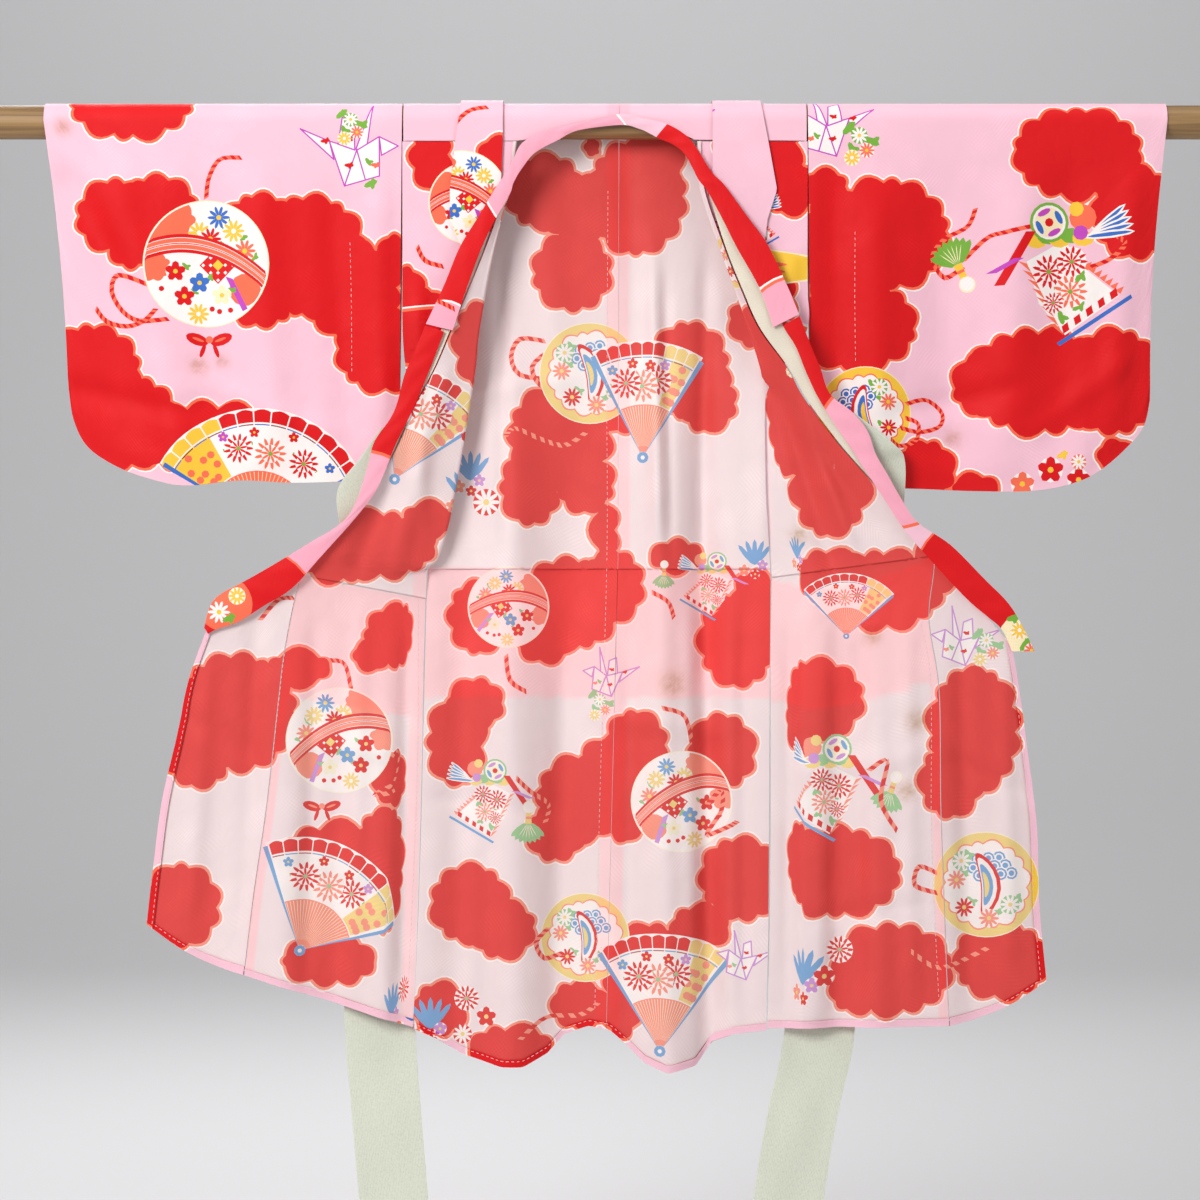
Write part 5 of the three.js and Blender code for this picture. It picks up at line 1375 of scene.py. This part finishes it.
# Hems
# Along the foot and the front edges the silk is turned in twice and hemmed, so a narrow band of
# its bright outside shows all round the paler reverse.
HEM_WIDTH = 7.0
HEM_STEPS = 5
HEM_WALL = 1.1
FOOT_PROUD = 0.95
SIDE_PROUD = 1.7
stitched = []


def hem_band(panel, edge, facing):
    """A strip of the panel along its foot or one side, a little towards the viewer."""
    rows, columns = panel.grid.shape[:2]
    share = np.linspace(0, 1, HEM_STEPS)
    if edge == "foot":
        i = np.interp(panel.v[-1] - HEM_WIDTH * (1 - share), panel.v, np.arange(rows))
        i, j = np.meshgrid(i, np.arange(columns, dtype=float), indexing="ij")
    elif edge == "first":
        j = np.interp(HEM_WIDTH * share, panel.u, np.arange(columns))
        i, j = np.meshgrid(np.arange(rows, dtype=float), j, indexing="ij")
    else:
        j = np.interp(panel.u[-1] - HEM_WIDTH * (1 - share), panel.u, np.arange(columns))
        i, j = np.meshgrid(np.arange(rows, dtype=float), j, indexing="ij")
    place = panel.at(i.ravel(), j.ravel(), panel.grid)
    normal = panel.at(i.ravel(), j.ravel(), panel.normals)
    proud = FOOT_PROUD if edge == "foot" else SIDE_PROUD
    return (place + normal * facing * proud).reshape(*i.shape, 3)


for name, edges, print_here, length in (
    ("back_left", ["foot"], back_reverse, 0.22), ("back_right", ["foot"], back_reverse, 0.19),
    ("front_left", ["foot"], left_folded, 0.17), ("front_right", ["foot"], right_folded, 0.18),
    ("overlap_left", ["foot", "first"], left_folded, 0.11),
    ("overlap_right", ["foot", "last"], right_folded, 0.11),
):
    for edge in edges:
        panel = panels[name]
        facing = -1 if panel.normals[-8:, :, 1].mean() > 0 else 1
        band = Panel(hem_band(panel, edge, facing))
        rows, columns = band.grid.shape[:2]
        shapes = lay(band, (0, rows), (0, columns), print_here)
        mesh = printed_shell(name, band, shapes, HEM_WALL, facing)
        mesh.materials.append(printed_silk)
        piece = finished(mesh, f"hem_{name}_{edge}", [])
        middle = band.grid[1] if edge == "foot" else band.grid[:, 3 if edge == "first" else 1]
        stitched.append(middle + (0, -0.75, 0))


# Waist tuck
# A deep tuck is folded to the outside of the body all round the waist and sewn along its top, so
# that the garment can be let down. Its two layers hang free below the seam, behind the panels.
TUCK_OUT = 2.1
DOUBLED = 1.7
WAIST_BACK_ROWS = np.linspace(WAIST_BACK_Z, -545, 32)


tuck_outer = clouds(
    (450, 600, 44, 36), (560, 620, 60, 40), (640, 590, 40, 30), (740, 630, 50, 44), (380, 590, 40, 34),
    (850, 600, 56, 36), (310, 620, 36, 26), (930, 600, 34, 30),
)
tuck_outer += temari(520, 600, 34, 0.2, -1) + mum(*mm(690, 600), 15) + mum(*mm(350, 605), 13, "orange")
tuck_outer += daisy(*mm(800, 625), 10) + daisy(*mm(420, 570), 9) + plum(*mm(880, 640), 10, "blue")
left_rows = fine_places(FRONT_LEFT, WAIST_ROW_LEFT, WAIST_ROW_LEFT + 2)
right_rows = fine_places(FRONT_RIGHT, WAIST_ROW_RIGHT, WAIST_ROW_RIGHT + 2)
for name, grid, creases in (
    ("waist_tuck_back_left", back_grid(BACK_SIDE_LEFT, 0, WAIST_BACK_ROWS), BACK_CREASES),
    ("waist_tuck_back_right", back_grid(BACK_SIDE_RIGHT, 0, WAIST_BACK_ROWS), BACK_CREASES),
    ("waist_tuck_front_left", front_rows(FRONT_LEFT, LEFT_FOLDS, left_rows, FRONT_PLACES), LEFT_CREASES),
    (
        "waist_tuck_front_right", front_rows(FRONT_RIGHT, RIGHT_FOLDS, right_rows, FRONT_PLACES),
        RIGHT_CREASES
    ),
):
    panel = Panel(grid, creases)
    behind = TUCK_OUT if panel.normals[..., 1].mean() > 0 else -TUCK_OUT
    panel = Panel(panel.grid)
    panel = Panel(panel.grid + panel.normals * behind)
    rows, columns = panel.grid.shape[:2]
    shapes = lay(panel, (0, rows), (0, columns), tuck_outer)
    mesh = printed_shell(name, panel, shapes, DOUBLED, 1 if behind > 0 else -1)
    mesh.materials.append(printed_silk)
    piece = finished(mesh, name + "_silk", [name])


# Shoulder tucks
# On each shoulder a wide pleat is folded towards the sleeve and sewn down along its inner side,
# from the front over the rod to the back.
TUCK_LEFT = ((-120, -136, -114), (-94, -147, -104), (-66, -147, -99), (-22, -142, -97), (14, -137, -97))
TUCK_RIGHT = ((-120, 150, 118), (-94, 153, 106), (-66, 162, 101), (-22, 154, 101), (14, 147, 101))
SHOULDER_SHOWN = 34
SHOULDER_ACROSS = 12


def shoulder_grid(table, front_table, side):
    reach = QUARTER_TURN - table[0][0]
    out = TUCK_OUT + 0.3
    drops = np.concatenate([
        np.linspace(-reach, -QUARTER_TURN, 29)[:-1], np.linspace(-QUARTER_TURN, QUARTER_TURN, 25)[:-1],
        np.linspace(QUARTER_TURN, reach, 29),
    ])
    rows = []
    for drop in drops:
        y, z = over_rod(np.full(SHOULDER_ACROSS, drop))
        x = mix(level(table, 0, z, 1), level(table, 0, z, 2), np.linspace(0, 1, SHOULDER_ACROSS))
        if abs(drop) <= QUARTER_TURN:
            y, z = y * (MIDDLE_RADIUS + out) / MIDDLE_RADIUS, z * (MIDDLE_RADIUS + out) / MIDDLE_RADIUS
        elif drop < 0:
            y = level(front_table, 1, z, 2) - out
        else:
            y = back_y(side, x, z) + out
        rows.append(np.column_stack([x, y, z]))
    return np.array(rows)


for name, table, front_table, side, print_here in (
    ("shoulder_tuck_left", TUCK_LEFT, FRONT_LEFT, BACK_SIDE_LEFT,
     clouds((500, 164, 24, 30), (404, 190, 30, 30)) + temari(462, 200, 46, -0.1)
     + string([(452, 148), (456, 128), (470, 114), (488, 110)])
     + string([(446, 216), (440, 230), (446, 248)])),
    ("shoulder_tuck_right", TUCK_RIGHT, FRONT_RIGHT, BACK_SIDE_RIGHT,
     clouds((706, 215, 20, 24)) + paper_crane(690, 120, 24, -1)
     + string([(712, 182), (708, 200), (700, 210)])),
):
    panel = Panel(shoulder_grid(table, front_table, side))
    rows, columns = panel.grid.shape[:2]
    upward = panel.normals[rows // 2, columns // 2, 2] > 0
    shapes = lay(panel, (0, SHOULDER_SHOWN), (0, columns), print_here)
    mesh = printed_shell(name, panel, shapes, DOUBLED, 1 if upward else -1)
    mesh.materials.append(printed_silk)
    piece = finished(mesh, name + "_silk", [name])


# Collar
# A long band of the same silk, folded double over a soft filling, runs round the neck and down
# both fronts. A second, outer band lies on it round the neck and ends above the chest.
# x, z, freeX, freeZ, y
OVER_COLLAR = ((-169, -194, -144, -200, -30.4), (-153, -160, -130, -158, -28.6),
    (-137, -121, -117, -122, -26.4), (-120, -93, -104, -95, -25), (-104, -66, -90, -70, -23.8),
    (-96, -54, -87, -60, -23.4), (-87, -38, -78, -45, -22.8), (-78, -22, -66, -31, -21.4),
    (-59, -12, -46, -20, -20), (-28, -4, -26, -10, -19.6), (14, 5, 14, -5, -19.6), (34, 1, 33, -9, -19.6),
    (54, -3, 51, -18, -19.9), (73, -13, 66, -25, -20.6), (85, -26, 77, -36, -22),
    (99, -49, 87, -56, -23.6), (113, -64, 96, -68, -24.2), (134, -93, 110, -94, -25.2),
    (152, -118, 124, -122, -26.6), (171, -158, 145, -160, -28.6), (182, -185, 158, -197, -30.4))
COLLAR_LEFT = ((-169.6, -195.4, -152, -201, -30.4), (-179, -219, -160, -223, -30.4),
    (-189, -242, -168, -243, -30.5), (-199, -277, -182, -276, -30.5), (-217, -304, -197, -306, -30.5),
    (-223, -326, -205, -326, -30.4), (-234, -360, -216, -350, -30), (-248, -381, -234, -374, -29),
    (-282, -402, -272, -417, -27.4), (-312, -420, -296, -443, -25.8), (-342, -437, -322, -459, -24.6),
    (-361, -447, -346, -474, -23.8), (-372, -458, -364, -480, -23.4), (-378, -480, -375, -485, -23.2))
COLLAR_RIGHT = ((182.5, -186.4, 167, -195.4, -30.4), (192, -212, 180, -217, -30.5),
    (202, -236, 190, -242, -30.5), (211, -260, 203, -268, -30.5), (231, -276, 219, -293, -30.5),
    (246, -294, 232, -312, -30.5), (254, -316, 242, -328, -30.5), (266, -337, 252, -343, -30.4),
    (279, -360, 266, -364, -29.6), (294, -381, 282, -388, -28.8), (325, -402, 308, -418, -27),
    (359, -436, 341, -453, -26), (378, -455, 361, -470, -25.4), (391, -475, 374, -482, -25.2),
    (404, -502, 383, -502, -25.2))
BAND_ACROSS = 9


def band_grid(table, swell, steps=6):
    """A padded band: its middle stands forward a little and its long edges curl back."""
    rows = along(table, np.linspace(0, len(table) - 1, (len(table) - 1) * steps + 1))
    s = np.linspace(0, 1, BAND_ACROSS)
    x = mix(rows[:, 0:1], rows[:, 2:3], s)
    z = mix(rows[:, 1:2], rows[:, 3:4], s)
    step = np.arange(len(rows))[:, None]
    wavering = 0.35 * np.sin(step * 0.9 + 4 * s) * np.sin(math.pi * s)
    y = rows[:, 4:5] - swell * np.sin(math.pi * s) ** 0.8 + wavering
    return np.stack([x, y, z], axis=2)


over_print = (
    [("red", disc(*mm(470, 240), 95, 40))]
    + [("white", disc(*mm(560, 172), 76, 40)), ("pink", disc(*mm(560, 172), 74, 40))]
    + [("red", disc(*mm(735, 196), 92, 40))]
    + [("white", disc(*mm(446, 331), 27, 24)), ("pink", disc(*mm(446, 331), 25, 24))]
    + [
        ("white", disc(*mm(800, 338), 60, 34)), ("orange", disc(*mm(800, 338), 58, 34)),
        ("pink", disc(*mm(800, 338), 55, 34))
    ]
    + string([(430, 300), (442, 305), (456, 312)])
)
left_collar_print = (
    [
        ("red", disc(*mm(410, 400), 90, 40)), ("orange", disc(*mm(350, 560), 106, 40)),
        ("pink", disc(*mm(350, 560), 103, 40))
    ]
    + [("orange", disc(*mm(256, 612), 62, 30)), ("red", disc(*mm(256, 612), 60, 30))]
    + [("orange", disc(*mm(228, 604), 26, 24))] + daisy(*mm(222, 612), 11)
    + daisy(*mm(240, 596), 9, "yellow", "white")
    + leaf(*mm(232, 618), 7, 0.4)
)
right_collar_print = (
    [
        ("red", disc(*mm(812, 350), 60, 40)), ("orange", disc(*mm(890, 450), 76, 40)),
        ("pink", disc(*mm(890, 450), 73, 40))
    ]
    + [("orange", disc(*mm(975, 580), 62, 30)), ("red", disc(*mm(975, 580), 60, 30))]
    + [("cream", disc(*mm(1022, 640), 26, 24))] + daisy(*mm(1016, 630), 9, "yellow", "white")
    + leaf(*mm(1022, 644), 8, 0.9) + leaf(*mm(1010, 618), 7, 0.2)
    + daisy(*mm(1028, 650), 8, "orange", "white")
)
for name, table, print_here, flat, swell in (
    ("over_collar", OVER_COLLAR, over_print, (0.019, 0.55), 0.7),
    ("collar_left", COLLAR_LEFT, left_collar_print, (0.019, 0.37), 0.8),
    ("collar_right", COLLAR_RIGHT, right_collar_print, (0.018, 0.39), 0.8),
):
    panel = Panel(band_grid(table, swell))
    rows, columns = panel.grid.shape[:2]
    facing = panel.normals[..., 1].mean() < 0
    shapes = lay(panel, (0, rows), (0, columns), print_here)
    mesh = printed_shell(name, panel, shapes, 2.0, 1 if facing else -1)
    mesh.materials.append(printed_silk)
    piece = finished(mesh, name + "_silk", [name])


# Collar lining
# A strip of thick cream crepe shows between the collar and each turned-back front. Its pebbled
# ground stands out against the smooth silk.
LINING_LEFT = ((-97, -64, -99, -20.8), (-113.6, -121, -122, -23.2), (-129, -160, -138, -25.2),
    (-144.5, -197, -154, -27.2), (-160.5, -235, -176, -28.5), (-180.5, -273, -190, -28.5),
    (-197.5, -311, -208, -28.5), (-207.5, -331, -212, -27.8))
LINING_RIGHT = ((96, -68, 103, -21), (112.6, -121, 134, -23.2), (127.6, -159, 154, -25.2),
    (144.6, -197, 168, -27.2), (171.6, -235, 194, -28.5), (191, -268, 206, -28.5),
    (223.6, -311, 236, -28.5), (257.6, -349, 268, -27.2))


def plain_shell(name, panel, wall):
    """A closed sheet of undyed cloth on a panel, with its UV map in metres."""
    rows, columns = panel.grid.shape[:2]
    number = np.arange(rows * columns).reshape(rows, columns)
    count = rows * columns
    middle, normal = panel.grid.reshape(-1, 3), panel.normals.reshape(-1, 3)
    places = np.vstack([middle + normal * wall / 2, middle - normal * wall / 2]) * 0.001
    a, b, c, d = number[:-1, :-1], number[:-1, 1:], number[1:, 1:], number[1:, :-1]
    quads = np.stack([a, b, c, d], axis=2).reshape(-1, 4)
    edge = np.concatenate([number[0, :-1], number[:-1, -1], number[-1, :0:-1], number[:0:-1, 0]])
    after = np.roll(edge, -1)
    rim = np.column_stack([after, edge, edge + count, after + count])
    mesh = bpy.data.meshes.new(name)
    mesh.from_pydata(places.tolist(), [], np.vstack([quads, quads[:, ::-1] + count, rim]).tolist())
    uv = np.column_stack([panel.cloth_u.ravel(), panel.cloth_v.ravel()])
    uv = np.vstack([uv, uv]) * 0.001
    loops = np.zeros(len(mesh.loops), np.int32)
    mesh.loops.foreach_get("vertex_index", loops)
    mesh.uv_layers.new(name="UVMap").data.foreach_set("uv", uv[loops].ravel().astype(np.float32))
    mesh.shade_smooth()
    mesh.normals_split_custom_set_from_vertices(np.vstack([normal, -normal]).tolist())
    return mesh


def crepe_material(name, colour, grain, height):
    """Undyed crepe: a pebbled ground of twisted threads, a little uneven in colour."""
    crepe, tree, shader = blank_finish(name)
    uv = add(tree, "ShaderNodeUVMap", uv_map="UVMap").outputs["UV"]
    pebbles = add(tree, "ShaderNodeTexNoise", Scale=grain, Detail=2, Vector=uv)
    threads = add(tree, "ShaderNodeTexWave", Scale=grain * 0.5, Distortion=2, Vector=uv)
    both = add(
        tree, "ShaderNodeMath", threads.outputs["Fac"], 0.4, pebbles.outputs["Fac"],
        operation="MULTIPLY_ADD"
    )
    both = both.outputs["Value"]
    fit(
        tree,
        shader,
        Base_Color=tones(tree, both, linear(colour) * 0.8, linear(colour), 0.3, 0.8),
        Normal=relief(tree, both, 0.5, height),
        Roughness=0.8,
        Specular_IOR_Level=0.25,
    )
    return crepe


cream_crepe = crepe_material("cream_crepe", (242, 232, 212), 900, 0.0008)
for name, table in (("collar_lining_left", LINING_LEFT), ("collar_lining_right", LINING_RIGHT)):
    rows = along(table, np.linspace(0, len(table) - 1, 60))
    s = np.linspace(0, 1, 7)
    x = mix(rows[:, 0:1] + np.sign(table[0][0]) * 0.8, rows[:, 2:3], s)
    wavering = 0.5 * np.sin(np.arange(60)[:, None] * 0.7 + 2 * s) * np.sin(math.pi * s)
    grid = np.stack([x, rows[:, 3:4] + wavering, rows[:, 1:2] + 0 * s], axis=2)
    mesh = plain_shell(name, Panel(grid), 1.0)
    mesh.materials.append(cream_crepe)
    piece = finished(mesh, name + "_crepe", [name])


# Belt strings
# Two long flat strings of undyed figured silk are sewn to the fronts under the collar and hang
# behind the garment to below its hem. They are folded double, with their edges stitched down.
# outX, outZ, inX, inZ, y
BELT_LEFT = ((-212, -292, -186, -285, -25.2), (-232, -320, -186, -312, -22), (-253, -349, -186, -346, -17),
    (-252, -383, -185, -383, -10.5), (-251, -412, -184, -412, 2), (-250, -440, -183, -440, 13),
    (-252, -560, -185, -560, 15), (-250, -700, -183, -700, 14), (-249, -850, -182, -850, 14),
    (-242, -940, -176, -940, 11), (-235, -1024, -169, -1024, 9), (-231, -1100, -164, -1100, 9))
BELT_RIGHT = ((234, -277, 218, -285, -25.5), (273, -307, 216, -314, -20.4), (283, -322, 216, -334, -14.2),
    (283, -359, 216, -362, -8), (279, -400, 212, -400, 3), (273, -440, 206, -440, 13),
    (258, -560, 191, -560, 15), (247, -700, 180, -700, 14), (238, -862, 171, -862, 14),
    (222, -940, 155, -940, 11), (208, -1024, 141, -1024, 9), (203, -1100, 136, -1100, 9))
belt_silk = crepe_material("belt_silk", (222, 226, 208), 420, 0.0005)
for name, table in (("belt_left", BELT_LEFT), ("belt_right", BELT_RIGHT)):
    count = (len(table) - 1) * 14 + 1
    rows = along(table, np.linspace(0, len(table) - 1, count))
    s = np.linspace(0, 1, 19)
    x = mix(rows[:, 0:1], rows[:, 2:3], s)
    z = mix(rows[:, 1:2], rows[:, 3:4], s)
    free = ease((-z - 450) / 300)
    hems = -0.35 * (np.exp(-((s - 0.07) / 0.035) ** 2) + np.exp(-((s - 0.93) / 0.035) ** 2))
    soft = 1.1 * np.sin(z / 41 + 5 * s) * np.sin(math.pi * s) + 0.8 * np.sin(
        z / 17 - 3 * s + x / 30
    ) * np.sin(math.pi * s)
    grid = np.stack([x, rows[:, 4:5] + soft * free + hems, z], axis=2)
    mesh = plain_shell(name, Panel(grid), 1.6)
    mesh.materials.append(belt_silk)
    piece = finished(mesh, name + "_silk", [name])


# Hand stitching
# The seams and hems are sewn by hand with a running stitch of pale silk thread.
# Each stitch is a short thread that lies on the cloth, a little uneven in length.
STITCH_PITCH = 0.0052
STITCH_LENGTH = 0.0026
THREAD_RADIUS = 0.00026


def on_cloth(panel, rows, places):
    """Points of a line seen from the front, on the viewer's side of one layer of a panel."""
    line = along(places, np.linspace(0, len(places) - 1, (len(places) - 1) * 12 + 1))
    uv = panel.find(line, rows, (0, panel.grid.shape[1]))
    i = np.interp(uv[:, 1], panel.v, np.arange(len(panel.v)))
    j = np.interp(uv[:, 0], panel.u, np.arange(len(panel.u)))
    normal = panel.at(i, j, panel.normals)
    facing = -np.sign(normal[:, 1:2])
    return panel.at(i, j, panel.grid) + normal * facing * 0.5


for name, rows, places in (
    ("back_left", (BACK_RISE + 2, None), [(608, 190), (607, 400), (607, 560), (600, 800), (595, 1010)]),
    ("front_left", (0, None), [(299, 590), (280, 660), (264, 800), (254, 890), (248, 955)]),
    ("front_left", (0, None), [(418, 600), (418, 700), (416, 800), (412, 900), (408, 985)]),
    ("front_right", (0, None), [(918, 620), (929, 680), (930, 820), (932, 880), (938, 1000)]),
    ("sleeve_left", (0, SLEEVE_DOWN), [(351, 245), (352, 300), (352, 370)]),
    ("sleeve_right", (0, SLEEVE_DOWN), [(854, 235), (854, 300), (855, 360)]),
):
    stitched.append(on_cloth(panels[name], rows, [mm(*p) for p in places]))

thread_mesh = bpy.data.meshes.new("stitch_lines")
starts = np.cumsum([0] + [len(line) for line in stitched])
thread_mesh.from_pydata(
    (np.vstack(stitched) * 0.001).tolist(),
    [(k, k + 1) for a, b in zip(starts, starts[1:]) for k in range(a, b - 1)],
    [],
)
lines = bpy.data.objects.new("stitch_lines", thread_mesh)
bpy.context.collection.objects.link(lines)

thread, tree, shader = blank_finish("seam_thread")
where = add(tree, "ShaderNodeTexCoord")
twist = add(tree, "ShaderNodeTexNoise", Scale=1400, Vector=where.outputs["Object"])
fit(
    tree,
    shader,
    Base_Color=tones(tree, twist.outputs["Fac"], (0.72, 0.46, 0.46), (0.95, 0.82, 0.8)),
    Roughness=0.6
)

tree = bpy.data.node_groups.new("running_stitch", "GeometryNodeTree")
for label, kind in (("Geometry", "Geometry"), ("Pitch", "Float"), ("Length", "Float"), ("Radius", "Float"),
                    ("Thread", "Material")):
    tree.interface.new_socket(label, in_out="INPUT", socket_type="NodeSocket" + kind)
tree.interface.new_socket("Geometry", in_out="OUTPUT", socket_type="NodeSocketGeometry")
given = add(tree, "NodeGroupInput").outputs
curve = add(tree, "GeometryNodeMeshToCurve", Mesh=given["Geometry"])
spaced = add(
    tree, "GeometryNodeCurveToPoints", mode="LENGTH", Curve=curve.outputs["Curve"], Length=given["Pitch"]
)
stitch = add(tree, "GeometryNodeMeshCylinder", Vertices=6, Radius=given["Radius"], Depth=given["Length"])
aim = add(tree, "FunctionNodeAlignRotationToVector", axis="Z", Vector=spaced.outputs["Tangent"])
uneven = add(
    tree, "FunctionNodeRandomValue", (0.9, 0.9, 0.75), (1.1, 1.1, 1.2), data_type="FLOAT_VECTOR", Seed=7
)
sewn = add(tree, "GeometryNodeInstanceOnPoints", Points=spaced.outputs["Points"],
           Instance=stitch.outputs["Mesh"], Rotation=aim.outputs["Rotation"], Scale=uneven.outputs["Value"])
real = add(tree, "GeometryNodeRealizeInstances", Geometry=sewn.outputs["Instances"])
dyed = add(tree, "GeometryNodeSetMaterial", Geometry=real.outputs["Geometry"], Material=given["Thread"])
add(tree, "NodeGroupOutput", Geometry=dyed.outputs["Geometry"])
modifier = lines.modifiers.new("stitches", "NODES")
modifier.node_group = tree
sizes = {"Pitch": STITCH_PITCH, "Length": STITCH_LENGTH, "Radius": THREAD_RADIUS, "Thread": thread}
for socket in tree.interface.items_tree:
    if socket.in_out == "INPUT" and socket.name in sizes:
        modifier[socket.identifier] = sizes[socket.name]
bpy.context.view_layer.update()
evaluated = lines.evaluated_get(bpy.context.evaluated_depsgraph_get())
stitch_mesh = bpy.data.meshes.new_from_object(evaluated)
lines.modifiers.remove(modifier)
bpy.data.objects.remove(lines)
finished(stitch_mesh, "seam_stitches", [])
